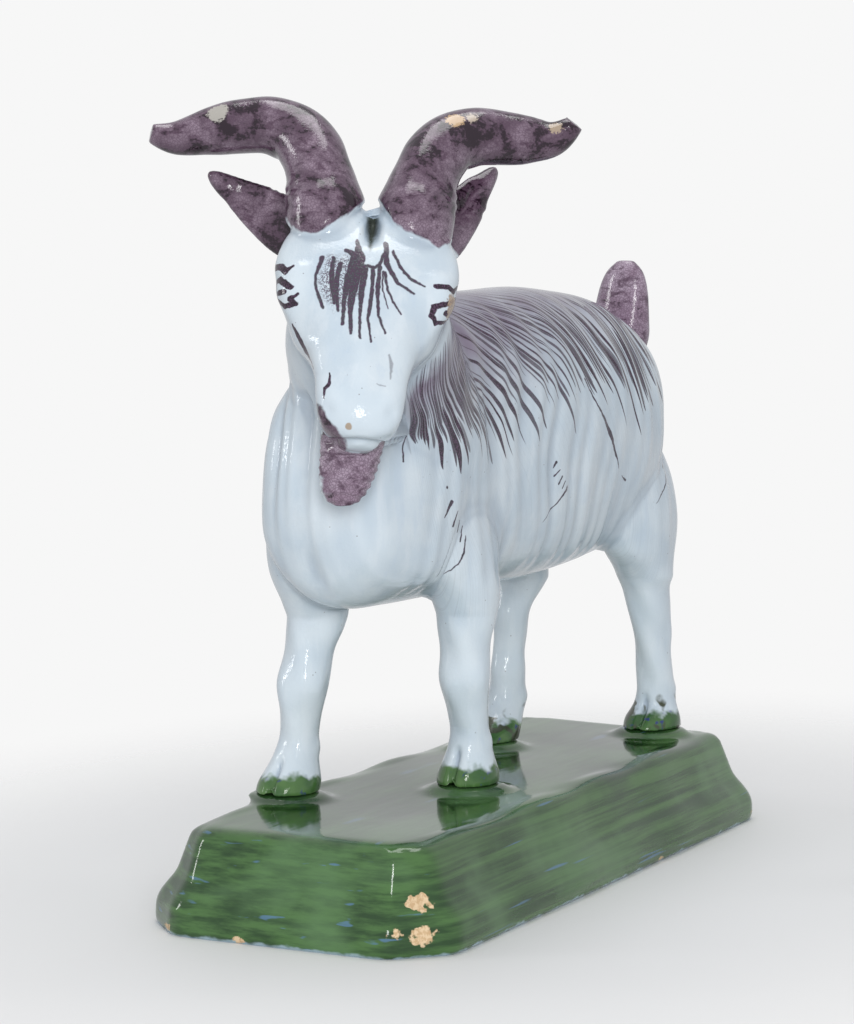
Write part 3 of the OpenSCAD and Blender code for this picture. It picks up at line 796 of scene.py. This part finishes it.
# a tongue of the beard's purple runs up the right of the jaw
tongue = np.maximum.reduce([r - np.hypot(q_points[:, 0] - a, q_points[:, 2] - b) for a, b, r in zip(
    np.linspace(-7.6, -4.2, 14), np.linspace(-32.6, -39.8, 14), np.linspace(0.4, 2.2, 14))])
beside_jaw = (q_points[:, 1] < -8) & (q_points[:, 0] < 0)
purple = np.where(beside_jaw, np.maximum(purple, tongue), purple)

KNOWN = {
    "purple": purple,
    "coat_line": coat[:, 0],
    "coat_share": coat[:, 1],
    "coat_gap": 1 / np.maximum(np.hypot(*slope), 0.02),
    "crest": crest,
    "swell": swell,
    "nape": np.clip((NECK_SEAT - g_points) @ SEAT_NORMAL, -9, 20),
}


# ---------------------------------------------------------------- one closed piece per solid


def triangles_of(mesh):
    mesh.calc_loop_triangles()
    t = np.empty(len(mesh.loop_triangles) * 3, int)
    mesh.loop_triangles.foreach_get("vertices", t)
    return t.reshape(-1, 3)


def cut_along(values, tris, column):
    """Adds edges where a column of the vertex values passes through zero."""
    f = values[:, column]
    f[np.abs(f) < 1e-4] = 1e-4
    high = f[tris] > 0
    count = high.sum(1)
    mixed = (count == 1) | (count == 2)
    m, lone = tris[mixed], np.where(count[mixed] == 1, high[mixed].argmax(1), (~high[mixed]).argmax(1))
    m = np.take_along_axis(m, (lone[:, None] + np.arange(3)) % 3, 1)
    pairs = np.sort(np.concatenate([m[:, [0, 1]], m[:, [0, 2]]]), axis=1)
    unique, where = np.unique(pairs, axis=0, return_inverse=True)
    where = where.ravel()
    low, top = f[unique[:, 0]], f[unique[:, 1]]
    share = (low / (low - top))[:, None]
    added = values[unique[:, 0]] * (1 - share) + values[unique[:, 1]] * share
    added[:, column] = 0
    ab = len(values) + where[:len(m)]
    ac = len(values) + where[len(m):]
    a, b, c = m.T
    new = np.concatenate([np.stack([a, ab, ac], 1), np.stack([ab, b, c], 1), np.stack([ab, c, ac], 1)])
    return np.vstack([values, added]), np.vstack([tris[~mixed], new])


def capped(p, tris):
    """Closes each open rim with a fan; returns points, triangles and the count of the skin's own."""
    directed = np.concatenate([tris[:, [0, 1]], tris[:, [1, 2]], tris[:, [2, 0]]])
    keys = {(int(a), int(b)) for a, b in directed}
    follow = {b: a for a, b in keys if (b, a) not in keys}
    extra, fans, start = [], [], len(p)
    while follow:
        first, nxt = next(iter(follow.items()))
        rim = [first]
        del follow[first]
        while nxt != first and nxt in follow:
            rim.append(nxt)
            nxt = follow.pop(nxt)
        if len(rim) < 3:
            continue
        extra.append(p[rim].mean(0))
        fans += [[a, b, start] for a, b in zip(rim, rim[1:] + rim[:1])]
        start += 1
    if not fans:
        return p, tris, len(tris)
    return np.vstack([p, extra]), np.vstack([tris, fans]), len(tris)


names = list(FIELDS)
skin_normals = read_normals(skin)
values = np.column_stack([points, skin_normals, *FIELDS.values(), *KNOWN.values()])
tris = triangles_of(skin)
for k, name in enumerate(names):
    values, tris = cut_along(values, tris, 6 + k)
level = {name: values[:, 6 + k][tris].mean(1) for k, name in enumerate(names)}
middle = to_goat(values[:, :3][tris].mean(1))

label = np.full(len(tris), "trunk_right", dtype="U16")
label[level["side"] > 0] = "trunk_left"
label[level["head"] > 0] = "head"
legs = level["legs"] > 0
for name, foot in FOOT.items():
    near = (np.sign(middle[:, 0]) == np.sign(foot[0])) & ((middle[:, 1] < 8) == name.startswith("fore"))
    label[legs & near] = name
for name in ("beard", "tail", "ear_left", "ear_right", "horn_left", "horn_right"):
    label[level[name] > 0] = name

for name in sorted(set(label)):
    own = tris[label == name]
    used, own = np.unique(own, return_inverse=True)
    own = own.reshape(-1, 3)
    vals = values[used]
    p, faces, own_count = capped(vals[:, :3] * MM, own)
    mesh = bpy.data.meshes.new(name + "_glazed")
    mesh.from_pydata(p.tolist(), [], faces.tolist())
    for k, word in enumerate(KNOWN):
        column = np.zeros(len(p))
        column[:len(vals)] = vals[:, 6 + len(names) + k]
        set_attribute(mesh, word, column)
    mesh.polygons.foreach_set("use_smooth", np.ones(len(faces), bool))
    loops = np.zeros((len(faces), 3, 3))
    n = vals[:, 3:6] / np.linalg.norm(vals[:, 3:6], axis=1)[:, None]
    loops[:own_count] = n[faces[:own_count]]
    if len(faces) > own_count:
        a, b, c = (p[faces[own_count:, i]] for i in range(3))
        flat = np.cross(b - a, c - a)
        loops[own_count:] = (flat / np.maximum(np.linalg.norm(flat, axis=1), 1e-12)[:, None])[:, None]
    mesh.normals_split_custom_set(loops.reshape(-1, 3).tolist())
    add_piece(name, mesh)
    print(name, len(faces), "triangles")
bpy.data.meshes.remove(skin)


# ---------------------------------------------------------------- plinth


def plinth_skin():
    """The block as it was hand pressed: softened edges, slow swells, and a hoof mark under each foot."""
    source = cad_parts["plinth"].data
    shell = bmesh.new()
    shell.from_mesh(source)
    bmesh.ops.remove_doubles(shell, verts=shell.verts, dist=1e-6)
    p = np.array([v.co for v in shell.verts]) / MM
    faces = [[v.index for v in f.verts] for f in shell.faces]
    shell.free()
    mesh = shell_of(p, faces, 0.75)
    e = read_edges(mesh)
    p = relaxed(read_points(mesh), e, 26, 0.5, 0.2)
    put_points(mesh, p)
    n = read_normals(mesh)
    x, y, z = p.T
    outer = fade(z, 0.5, 3)
    swell = 0.45 * np.sin(y / 17 + 0.6) * np.sin(x / 13 + 1) + 0.3 * np.sin(y / 8.7 + x / 19 + 2)
    swell = swell + 0.16 * np.sin(y / 3.9 + 0.4 * np.sin(x / 5)) * fade(np.abs(x), 18, 26)
    flank = fade(np.abs(x), 20, 28) * (1 - (y / PLINTH_L * 2) ** 2)
    lift = outer * (0.45 * swell + 0.7 * np.clip(flank, 0, 1) - 0.35)
    side = np.maximum.reduce([np.abs(x) - 26.5, np.abs(y) - 77, (np.abs(x) + np.abs(y) - 97) / 1.4])
    lift += 1.5 * fade(side, -0.5, 0.8) * fade(-z, -11, -4)
    lift += 0.25 * fade(np.abs(x), 20, 23) * np.sin(y / 5.1) * np.exp(-((z - PLINTH_H) / 1.6) ** 2)
    near = np.full(len(p), 99.0)
    for foot in FOOT.values():
        near = np.minimum(near, np.linalg.norm(to_goat(p)[:, :2] - (foot[0], -foot[1]), axis=1))
    lift *= fade(near, 6, 10)
    p = p + n * lift[:, None]
    p[:, 2] = np.maximum(p[:, 2], 0)
    put_points(mesh, p)
    crest = ((p - relaxed(p, e, 14)) * read_normals(mesh)).sum(1)
    set_attribute(mesh, "crest", crest)
    put_points(mesh, p * MM)
    mesh.polygons.foreach_set("use_smooth", np.ones(len(mesh.polygons), bool))
    add_piece("plinth", mesh)


plinth_skin()


# ---------------------------------------------------------------- glazes


def painted_lines(s, place, paths):
    """Signed distance to brush lines through rows of [a, b, half width] on a flat chart, in millimetres."""
    nearest = None
    for path in paths:
        for (xa, ya, wa), (xb, yb, wb) in zip(path, path[1:]):
            bx, by = xb - xa, yb - ya
            size = max(bx * bx + by * by, 1e-6)
            pa = s.vector_math("SUBTRACT", place, (xa, ya, 0), "Vector")
            share = s.vector_math("DOT_PRODUCT", pa, (bx / size, by / size, 0)).clamp()
            foot = s.node("ShaderNodeVectorMath", {"operation": "SCALE"}, {0: (bx, by, 0), "Scale": share})
            gap = s.distance(pa, foot) - (share * (wb - wa) + wa)
            nearest = gap if nearest is None else nearest.min(gap)
    return nearest


def flat_chart(s, place, *ways, origin):
    """How far a place lies along each direction from an origin, in millimetres."""
    return [s.vector_math("DOT_PRODUCT", place, tuple(way)) - float(np.dot(way, origin)) for way in ways]


def layered(s, base, layers):
    """Colours laid one over another: rows of (how much, colour)."""
    for amount, colour in layers:
        base = s.mix(amount, base, colour)
    return base


HEAD_AXES = (GOAT_TURN @ HEAD_SPIN).T
HEAD_ORIGIN = from_goat(POLL)

# Brush lines of the face: [across, up, half width] on a chart square to each part of the face.
FOREHEAD = [
    [(-8.4, -6.3, 0.5), (-9.4, -9.5, 0.3), (-9.2, -11.9, 0.3), (-7.8, -15.1, 0.35)],
    [(-6.3, -6.2, 0.4), (-6.5, -9, 0.5), (-6.2, -11.4, 0.5), (-5.7, -14.2, 0.35)],
    [(-5.0, -7.2, 0.5), (-5.5, -10, 0.5), (-5.3, -12.8, 0.4), (-5.0, -15.5, 0.3)],
    [(-4.2, -4.6, 0.3), (-2.4, -5.3, 0.7), (-3.4, -9.5, 0.7), (-3.9, -13.7, 0.45), (-4.0, -18.0, 0.35)],
    [(-2.2, -2.6, 0.2), (-1.5, -5.9, 1.1), (-2.3, -10.5, 1.0), (-2.7, -15, 0.5), (-2.4, -19.5, 0.3)],
    [(-0.4, -7.6, 0.7), (-0.8, -11.8, 0.6), (-0.9, -16, 0.3), (-0.7, -20.3, 0.26)],
    [(1.1, -7.5, 0.4), (1.1, -12.1, 0.42), (0.6, -16.9, 0.3), (1.4, -20.8, 0.2)],
    [(2.3, -7.4, 0.4), (2.1, -11.7, 0.42), (2.5, -16.1, 0.25), (3.9, -19.2, 0.2)],
    [(3.0, -8.2, 0.2), (2.9, -11, 0.17), (4.1, -14.8, 0.1)],
    [(3.3, -8.4, 0.3), (3.9, -11.2, 0.24), (5.1, -13.6, 0.22), (6.6, -15.7, 0.16)],
    [(3.2, -3.2, 0.5), (3.5, -6.6, 0.5), (5.7, -10.1, 0.34), (8.8, -11.9, 0.2)],
    [(4.6, -4.4, 0.3), (6.1, -7.3, 0.3), (8.2, -9.3, 0.25), (10.8, -10.5, 0.18)],
    [(3.3, -4.2, 0.34), (2.2, -7.0, 0.34), (1.0, -7.6, 0.3), (0, -7.2, 0.3)],
]
NOSE = [[(-5.8, -26.8, 0.16), (-5.7, -28.6, 0.34), (-6.5, -29.6, 0.28), (-6.6, -31.4, 0.1)]]
FADED = [[(4.8, -23.1, 0.16), (5.3, -24.6, 0.34), (5.2, -27.3, 0.12)],
         [(2.8, -28.2, 0.1), (4.4, -28.6, 0.12)]]
RIGHT_EYE = [
    [(-6.1, 4.3, 0.6), (-3.1, 4.6, 0.55), (-1.2, 3.8, 0.5), (-0.6, 4.8, 0.24)],
    [(-3.6, 1.6, 0.4), (-2.2, 2.3, 0.5), (-0.4, 1.6, 0.5), (1.2, 1.0, 0.36)],
    [(-1.8, -0.3, 0.34), (0.2, 0.1, 0.42)],
    [(2.6, -0.2, 0.2), (1.5, -1.2, 0.45), (2.7, -2.0, 0.36), (0.1, -2.6, 0.42), (-2.3, -1.5, 0.34),
     (-3.6, 1.6, 0.3)],
]
LEFT_EYE = [
    [(-0.9, 4.6, 0.36), (1.2, 4.6, 0.46), (2.5, 3.8, 0.46), (4.6, 4.5, 0.24)],
    [(3.4, 2.4, 0.24), (1.4, 1.9, 0.36), (-2.3, 0.9, 0.42), (-2.9, -0.7, 0.4), (-2.0, -2.1, 0.36),
     (1.0, -1.9, 0.24)],
    [(-0.2, -0.2, 0.4), (0.2, -0.3, 0.4)],
]
CHEEK = [[(-2.6, 3.7, 0.16), (-1.4, 1.9, 0.55), (0, -1, 0.65), (1.9, -2.5, 0.16), (4.2, -3.9, 0.1)]]
# Combs of short dashes on the flank: [back, up, half width].
COMBS = [
    [(-32.6, 77.8, 0.45), (-34.1, 75, 0.2)], [(-30.4, 75.8, 0.16), (-31.4, 73.1, 0.3)],
    [(-28.3, 73.9, 0.14), (-29.0, 71.7, 0.2)], [(-27.2, 72.6, 0.14), (-28.1, 69.8, 0.2)],
    [(-26.5, 70.8, 0.14), (-27.3, 67.6, 0.26), (-28.1, 65.8, 0.18), (-30.1, 63.4, 0.08)],
    [(-34.4, 80.8, 0.28), (-34.3, 80.7, 0.28)],
    [(5.8, 83.0, 0.3), (5.1, 81.9, 0.12)], [(7, 81.5, 0.14), (5.6, 80.2, 0.2)],
    [(8, 80, 0.2), (7.1, 78.5, 0.24)], [(9.3, 79, 0.14), (8.5, 77.7, 0.2)],
    [(10.6, 77.5, 0.44), (8.4, 75.3, 0.2), (4.3, 71, 0.08)],
    [(55.4, 85.5, 0.14), (54.6, 83.5, 0.2)], [(56.7, 83.5, 0.14), (55.4, 80.6, 0.26)],
    [(58.2, 81.0, 0.14), (57.0, 78.6, 0.26)], [(58.8, 78.6, 0.24), (56.0, 74.9, 0.2), (50.9, 71.4, 0.08)],
    [(-44.5, 91, 0.12), (-44.9, 86.3, 0.2)],
    [(19, 99.3, 0.2), (22.2, 93.8, 0.24), (27.2, 87.8, 0.62), (31.8, 80.1, 0.1)],
    [(34.4, 78.4, 0.1), (36.6, 77.1, 0.24)],
]
# Marks on the sides of the face: [side, place in the head's frame, brush lines].
SIDE_MARKS = [(-1, (-13.9, -11.8, -12.9), RIGHT_EYE), (1, (14.0, -12.3, -15.0), LEFT_EYE),
              (-1, (-12.0, -15.6, -22.4), CHEEK)]
# Painted shade down the slot between the horns: [across, up, half width] on the forehead chart.
VENT_SLOT_SHADE = [(0.4, 7.5, 1.3), (0.4, 2.2, 1.05), (0.5, -1.2, 0.8), (0.3, -4.2, 0.16)]
# Passes of coat strokes: [strokes per guide line, first start, length, half width].
PASSES = [(6.0, -0.15, 0.95, 0.36), (4.5, 0.15, 0.7, 0.46), (5.2, -0.3, 0.75, 0.30), (3.1, 0.3, 0.6, 0.66)]
# Pale and tan spots on the tops of the horns, partly worn glaze and partly painted highlight: [place, size,
# colour].
HORN_WEAR_AND_HIGHLIGHTS = [((-29.6, -51.6, 152.1), 2.3, (0.46, 0.44, 0.40)), ((12.1, -34.0, 150.9), 2.1, (0.55, 0.38, 0.22)),
         ((26.8, -20.6, 149.2), 1.5, (0.42, 0.33, 0.24)), ((14.5, -31.5, 151.0), 1.3, (0.50, 0.42, 0.34))]


INK_BLACK, INK_BROWN = (0.016, 0.007, 0.016), (0.085, 0.040, 0.085)
GLAZE_ROUGHNESS = 0.07


def white_body(s, cloud, fine, crest):
    """Tin glaze that pools blue in the fine creases and shows warm on sharp ridges, with painted light on the
    broad swells and painted shade in the broad hollows.
    """
    run = s.noise(s.mapped(s.place, (1000, 1000, 170)), 0.33, 3, 0.6)
    swell = s.attribute("swell")
    specks = s.node("ShaderNodeTexVoronoi", {}, {"Vector": s.mm, "Scale": 0.34}, "Distance")
    body = s.mix(cloud.rise(0.35, 0.68), (0.50, 0.585, 0.66), (0.585, 0.655, 0.71))
    return layered(s, body, [
        (run.rise(0.5, 0.72) * 0.4, (0.66, 0.715, 0.76)), (run.rise(0.46, 0.3) * 0.3, (0.45, 0.545, 0.655)),
        (fine.rise(0.5, 0.8) * 0.18, (0.46, 0.53, 0.60)), (crest.rise(0.13, 0.3) * 0.3, (0.52, 0.47, 0.40)),
        (crest.rise(-0.05, -0.2) * 0.6, (0.36, 0.43, 0.52)),
        # painted light on the broad swells, painted shade in the broad hollows
        (swell.rise(0.15, 0.75) * 0.45, (0.66, 0.735, 0.79)),
        (swell.rise(0.10, -0.35) * 0.5, (0.34, 0.41, 0.49)),
        (specks.rise(0.055, 0.035) * 0.6, (0.16, 0.14, 0.14))])


def coat_painting(s, body, held):
    """A lilac wash along the back, passes of strokes from the spine down, and combs of dashes lower down."""
    x, y, z = s.parts(s.mm)
    line, share, gap = s.attribute("coat_line"), s.attribute("coat_share"), s.attribute("coat_gap")
    line = line + (s.noise(s.mm, 0.09, 0) - 0.5) * 0.16
    nape = s.attribute("nape") + (s.noise(s.mm, 0.3, 2) - 0.5) * 3
    other_side = x.rise(-6, -4) * 40
    limit = line.rise(-0.6, -0.2) * line.rise(11.6, 11.0) * y.rise(-53, -47)
    limit = limit * (1 - x.rise(-8, -13) * y.rise(-34, -44))
    wash = share.rise(0.95, 0.2) * share.rise(-1.1, -0.5) * limit * (0.5 + 0.8 * s.noise(s.mm, 0.14, 2))
    body = s.mix((wash * nape.rise(0.5, 5) * 0.95).clamp(), body, (0.19, 0.155, 0.215))
    limit = limit * nape.rise(0.4, 1.6)
    ink = None
    for k, (per, first, length, half) in enumerate(PASSES):
        lane = line * per + 0.37 * k
        pick = [s.random(lane.floor() + other_side, k * 7 + i + 0.5) for i in range(4)]
        start = first + 0.38 * pick[0]
        stop = (start + length * (0.5 + 0.6 * pick[1])).min(0.86 + 0.2 * pick[2])
        place = (share - start) / (stop - start)
        taper = (place * (1 - place) * 4).max(0).sqrt() * (0.45 + 0.75 * place)
        off = abs(lane.fract() - 0.5 - (pick[3] - 0.5) * 0.5) * gap / per
        wide = half * (0.5 + 0.9 * pick[2]) * taper * (y.rise(-50, -26) * 0.4 + 0.6)
        stroke = (wide.min(gap * (0.36 / per)) - off).rise(-0.05, 0.13) * limit * (0.7 + 0.3 * pick[1])
        ink = stroke if ink is None else ink.max(stroke)
    back, up = flat_chart(s, held, GOAT_TURN.T[1], (0, 0, 1), origin=GOAT_SHIFT)
    combs = painted_lines(s, s.vector(back, up, 0), COMBS)
    return body, ink.max(combs.rise(0.08, -0.1) * abs(x - STANCE_SHIFT).rise(9, 11) * 0.95)


def face_painting(s, held, bubbles, fine):
    """The fan on the forehead, eyes, cheek and nose, and what lies over them: painted shade down the vent
    slot, chip and pit.
    """
    a, b = flat_chart(s, held, HEAD_AXES[0], HEAD_AXES[2], origin=HEAD_ORIGIN)
    depth, = flat_chart(s, s.mm, HEAD_AXES[1], origin=HEAD_ORIGIN)
    front, frontal = depth.rise(-3, -6), s.vector(a, b, 0)
    ink = painted_lines(s, frontal, FOREHEAD).rise(0.12, -0.12) * front * (0.7 + 0.5 * bubbles)
    smudge = s.distance(s.vector(a, b * 0.85, 0), (-4.6, -8.6, 0)) + (s.noise(s.mm, 0.5, 2) - 0.5) * 3
    ink = ink.max(smudge.rise(5.0, 3.2) * front * bubbles.rise(0.44, 0.56) * 0.85)
    ink = ink.max(painted_lines(s, frontal, NOSE).rise(0.08, -0.1) * front)
    ink = ink.max(painted_lines(s, frontal, FADED).rise(0.15, -0.15) * front * 0.5)
    for side, centre, paths in SIDE_MARKS:
        across = HEAD_AXES.T @ np.array([0.5, side * 0.86, 0])
        u, v = flat_chart(s, held, across, HEAD_AXES[2], origin=from_head(np.array(centre)))
        marks = painted_lines(s, s.vector(u, v, 0), paths) - 0.1
        ink = ink.max(marks.rise(0.09, -0.09) * (a * side).rise(6, 9))
        if paths is LEFT_EYE:
            worn = s.distance(s.vector(u, v * 0.6, 0), (1.7, 0.5, 0)) + (fine - 0.5) * 1.6
    over = [
        # painted shade down the vent slot between the horns
        (painted_lines(s, frontal, [VENT_SLOT_SHADE]).rise(0.5, -0.5) * depth.rise(8, 5) * 0.94,
         (0.045, 0.052, 0.036)),
        (worn.rise(1.75, 1.35) * a.rise(6, 9) * 0.9,
         s.mix(bubbles.rise(0.4, 0.6), (0.42, 0.31, 0.21), (0.26, 0.20, 0.17))),
        (s.distance(frontal, (-1.9, -36, 0)).rise(0.75, 0.5) * front * 0.85, (0.34, 0.24, 0.15))]
    return ink, over


def sponged(s, held, fine, crest, pale):
    """Manganese sponged on horns, ears, beard and tail, worn through in places on the horns, with painted
    highlight on the horn tops.
    """
    net = s.node("ShaderNodeTexVoronoi", {"feature": "DISTANCE_TO_EDGE"},
                 {"Vector": held, "Scale": 1.7}, "Distance")
    drawn = s.noise(s.mapped(s.place, (420, 700, 900)), 0.62, 4, 0.62, 0.5)
    pool = s.noise(s.mm, 0.14, 3, 0.62, 0.7)
    light, deep = (0.25, 0.185, 0.24), (0.085, 0.05, 0.078)
    if pale:
        light, deep = (0.40, 0.32, 0.40), (0.23, 0.16, 0.22)
    dabs = pool + (fine - 0.5) * 0.35 + (drawn - 0.5) * 0.7 - (0.1 if pale else 0)
    colour = layered(s, s.mix(pool.rise(0.3, 0.62), light, deep), [
        (net.rise(0.16, 0.02) * 0.55, (0.07, 0.035, 0.065)),
        (drawn.rise(0.5, 0.64) * 0.75, (0.062, 0.028, 0.055))])
    colour = s.mix(dabs.rise(0.53, 0.66), colour, (0.018, 0.008, 0.016))
    colour = s.mix(crest.rise(0.16, 0.4) * 0.35, colour, (0.20, 0.12, 0.10))
    # pale and tan spots on the horn tops: worn glaze and painted highlight
    return layered(s, colour, [
        ((s.distance(held, place) + (fine - 0.5) * 2.4).rise(size, size - 0.5) * 0.85, tint)
        for place, size, tint in HORN_WEAR_AND_HIGHLIGHTS])


def green_hoof(s, cloud, hind):
    """Green run up the hoof from the plinth, and a dark stain above it on the hind ones."""
    drip = s.parts(s.mm)[2] + (s.noise(s.mm, 0.35, 2) - 0.5) * 5
    green = s.mix(cloud.rise(0.4, 0.65), (0.035, 0.10, 0.03), (0.10, 0.20, 0.06))
    green = s.mix(s.noise(s.mm, 0.5, 2).rise(0.6, 0.7), green, (0.03, 0.05, 0.16))
    layers = [(drip.rise(PAD_Z + 4.4, PAD_Z + 2.8), green)]
    if hind:
        stain = drip.rise(PAD_Z + 7.5, PAD_Z + 5.5) * s.noise(s.mm, 0.2, 2).rise(0.5, 0.56)
        layers.append((stain, (0.05, 0.06, 0.035)))
    return layers


def glaze(name, face=False, coat=False, hoof=False, hind=False, pale=False):
    """Tin glaze with manganese painting over it; the same body colour runs through every piece."""
    s = Shader(name)
    crest = s.attribute("crest")
    cloud, fine, bubbles = s.noise(s.mm, 0.09, 3), s.noise(s.mm, 1.9, 2, 0.6), s.noise(s.mm, 3.2, 2, 0.6)
    shaky = s.node("ShaderNodeTexNoise", {}, {"Vector": s.mm, "Scale": 0.9, "Detail": 1.0}, "Color")
    shake = s.vector_math("SUBTRACT", shaky, (0.5, 0.5, 0.5), "Vector")
    held = s.node("ShaderNodeVectorMath", {"operation": "MULTIPLY_ADD"},
                  {0: shake, 1: (0.5, 0.5, 0.5), 2: s.mm})
    painted, over = white_body(s, cloud, fine, crest), []
    if coat:
        painted, ink = coat_painting(s, painted, held)
    if face:
        ink, over = face_painting(s, held, bubbles, fine)
    if coat or face:
        painted = s.mix(ink.clamp(), painted, s.mix(bubbles.rise(0.45, 0.66), INK_BLACK, INK_BROWN))
    if hoof:
        over = green_hoof(s, cloud, hind)
    edge = s.attribute("purple") + (s.noise(s.mm, 0.4, 2) - 0.5) * 1.6
    colour = s.mix(edge.rise(-0.25, 0.35), painted, sponged(s, held, fine, crest, pale))
    return s.finish(layered(s, colour, over), GLAZE_ROUGHNESS, fine, 0.00004)


# Chipped places on the block: [place, size].
WORN = [((25.0, -74.6, 9.2), 2.3), ((26.8, -76.9, 4.0), 2.4), ((23.2, -80.1, 4.2), 1.2),
        ((-23.5, -80, 1.2), 1.5), ((-8, -81.4, 0.6), 1.2), ((31, 20, 0.8), 1.1), ((31, 71.6, 1.6), 1.0)]


def green_glaze():
    """Copper green brushed along the block over the white, thin on the edges."""
    s = Shader("green_glaze")
    x, y, z = s.parts(s.mm)
    crest = s.attribute("crest")
    streak = s.noise(s.mapped(s.place, (420, 70, 2400)), 0.22, 4, 0.62)
    blue = s.noise(s.mapped(s.place, (300, 60, 1500)), 0.5, 2)
    broad, fine = s.noise(s.mm, 0.045, 3), s.noise(s.mm, 1.4, 3, 0.6)
    foot = z + (s.noise(s.mm, 0.3, 2) - 0.5) * 2.2
    colour = s.mix(streak.rise(0.36, 0.66), (0.016, 0.050, 0.014), (0.060, 0.140, 0.040))
    colour = layered(s, colour, [
        (broad.rise(0.5, 0.72) * 0.55, (0.10, 0.20, 0.085)),
        (broad.rise(0.46, 0.3) * 0.5, (0.010, 0.034, 0.012)),
        (blue.rise(0.66, 0.72) * 0.6, (0.09, 0.19, 0.34)),
        (crest.rise(0.25, 0.55) * z.rise(9, 14) * 0.45, (0.30, 0.44, 0.44)),
        (foot.rise(0.8, 0.1) * 0.7, (0.46, 0.60, 0.72))])
    ragged = (s.noise(s.mm, 0.6, 3) - 0.5) * 5.5
    bare = None
    for (cx, cy, cz), size in WORN:
        away = s.distance(s.vector(x, y, z * 1.6), (cx, cy, cz * 1.6)) + ragged
        spot = away.rise(size + 0.25, size - 0.25)
        bare = spot if bare is None else bare.max(spot)
    clay = s.mix(fine.rise(0.4, 0.6), (0.50, 0.34, 0.19), (0.66, 0.50, 0.32))
    return s.finish(s.mix(bare, colour, clay), bare * 0.6 + 0.08, streak, 0.00012)


GLAZES = {
    "plinth": green_glaze(), "head": glaze("face_glaze", face=True), "trunk": glaze("coat_glaze", coat=True),
    "foreleg": glaze("foreleg_glaze", hoof=True), "hindleg": glaze("hind_glaze", hoof=True, hind=True),
    "horn": glaze("manganese_glaze"), "beard": glaze("pale_manganese_glaze", pale=True),
}
GLAZES["ear"], GLAZES["tail"] = GLAZES["horn"], GLAZES["beard"]
SLOTS = {"plinth": "green_glaze"} | dict.fromkeys(("head", "trunk", "foreleg", "hindleg"), "white_glaze")
for name, piece in PIECES.items():
    kind = name.split("_")[0]
    piece.data.materials.clear()
    piece.data.materials.append(GLAZES[kind])


# ---------------------------------------------------------------- studio


def add_floor():
    """A pale sheet that fades into the background away from the object."""
    mesh = bpy.data.meshes.new("floor")
    mesh.from_pydata([(-1, -1, 0), (1, -1, 0), (1, 1, 0), (-1, 1, 0)], [], [(0, 1, 2, 3)])
    s = Shader("studio_floor")
    x, y, _ = s.parts(s.mm)
    away = (x * x + y * y * 0.5).sqrt()
    colour = s.mix(s.noise(s.place, 20, 2) * 0.2, (0.80, 0.80, 0.80), (0.78, 0.78, 0.79))
    mesh.materials.append(s.finish(colour, 0.6, alpha=away.rise(190, 70)))
    add_object("floor", mesh)


# What the surroundings give to each kind of ray: [ray, colour, strength]; the last is for all others.
SURROUNDINGS = [("Is Camera Ray", (0.93, 0.93, 0.93, 1), 1.0), ("Is Glossy Ray", (0.97, 0.98, 1, 1), 0.74),
                (None, (0.95, 0.97, 1, 1), 0.38)]


def add_world():
    world = bpy.data.worlds.new("studio")
    bpy.context.scene.world = world
    world.use_nodes = True
    tree = world.node_tree
    tree.nodes.clear()
    ray = tree.nodes.new("ShaderNodeLightPath")
    light = tree.nodes.new("ShaderNodeOutputWorld").inputs[0]
    for lit_by, colour, strength in SURROUNDINGS:
        seen = tree.nodes.new("ShaderNodeBackground")
        seen.inputs[0].default_value, seen.inputs[1].default_value = colour, strength
        if lit_by is None:
            tree.links.new(seen.outputs[0], light)
            continue
        mix = tree.nodes.new("ShaderNodeMixShader")
        tree.links.new(ray.outputs[lit_by], mix.inputs[0])
        tree.links.new(seen.outputs[0], mix.inputs[2])
        tree.links.new(mix.outputs[0], light)
        light = mix.inputs[1]


add_camera()
add_floor()
add_world()
area_lamp("key", (0.50, -0.95, 0.46), 0.11, 0.34, 2.0)
area_lamp("front", (0.52, -0.88, 0.22), 0.5, 0.4, 6.2, mirrored=False)
area_lamp("side", (-0.85, -0.50, 0.42), 0.10, 0.34, 1.1)
area_lamp("top", (-0.05, 0.1, 0.9), 0.5, 0.5, 3.2)
bpy.context.scene.view_settings.view_transform = "Standard"
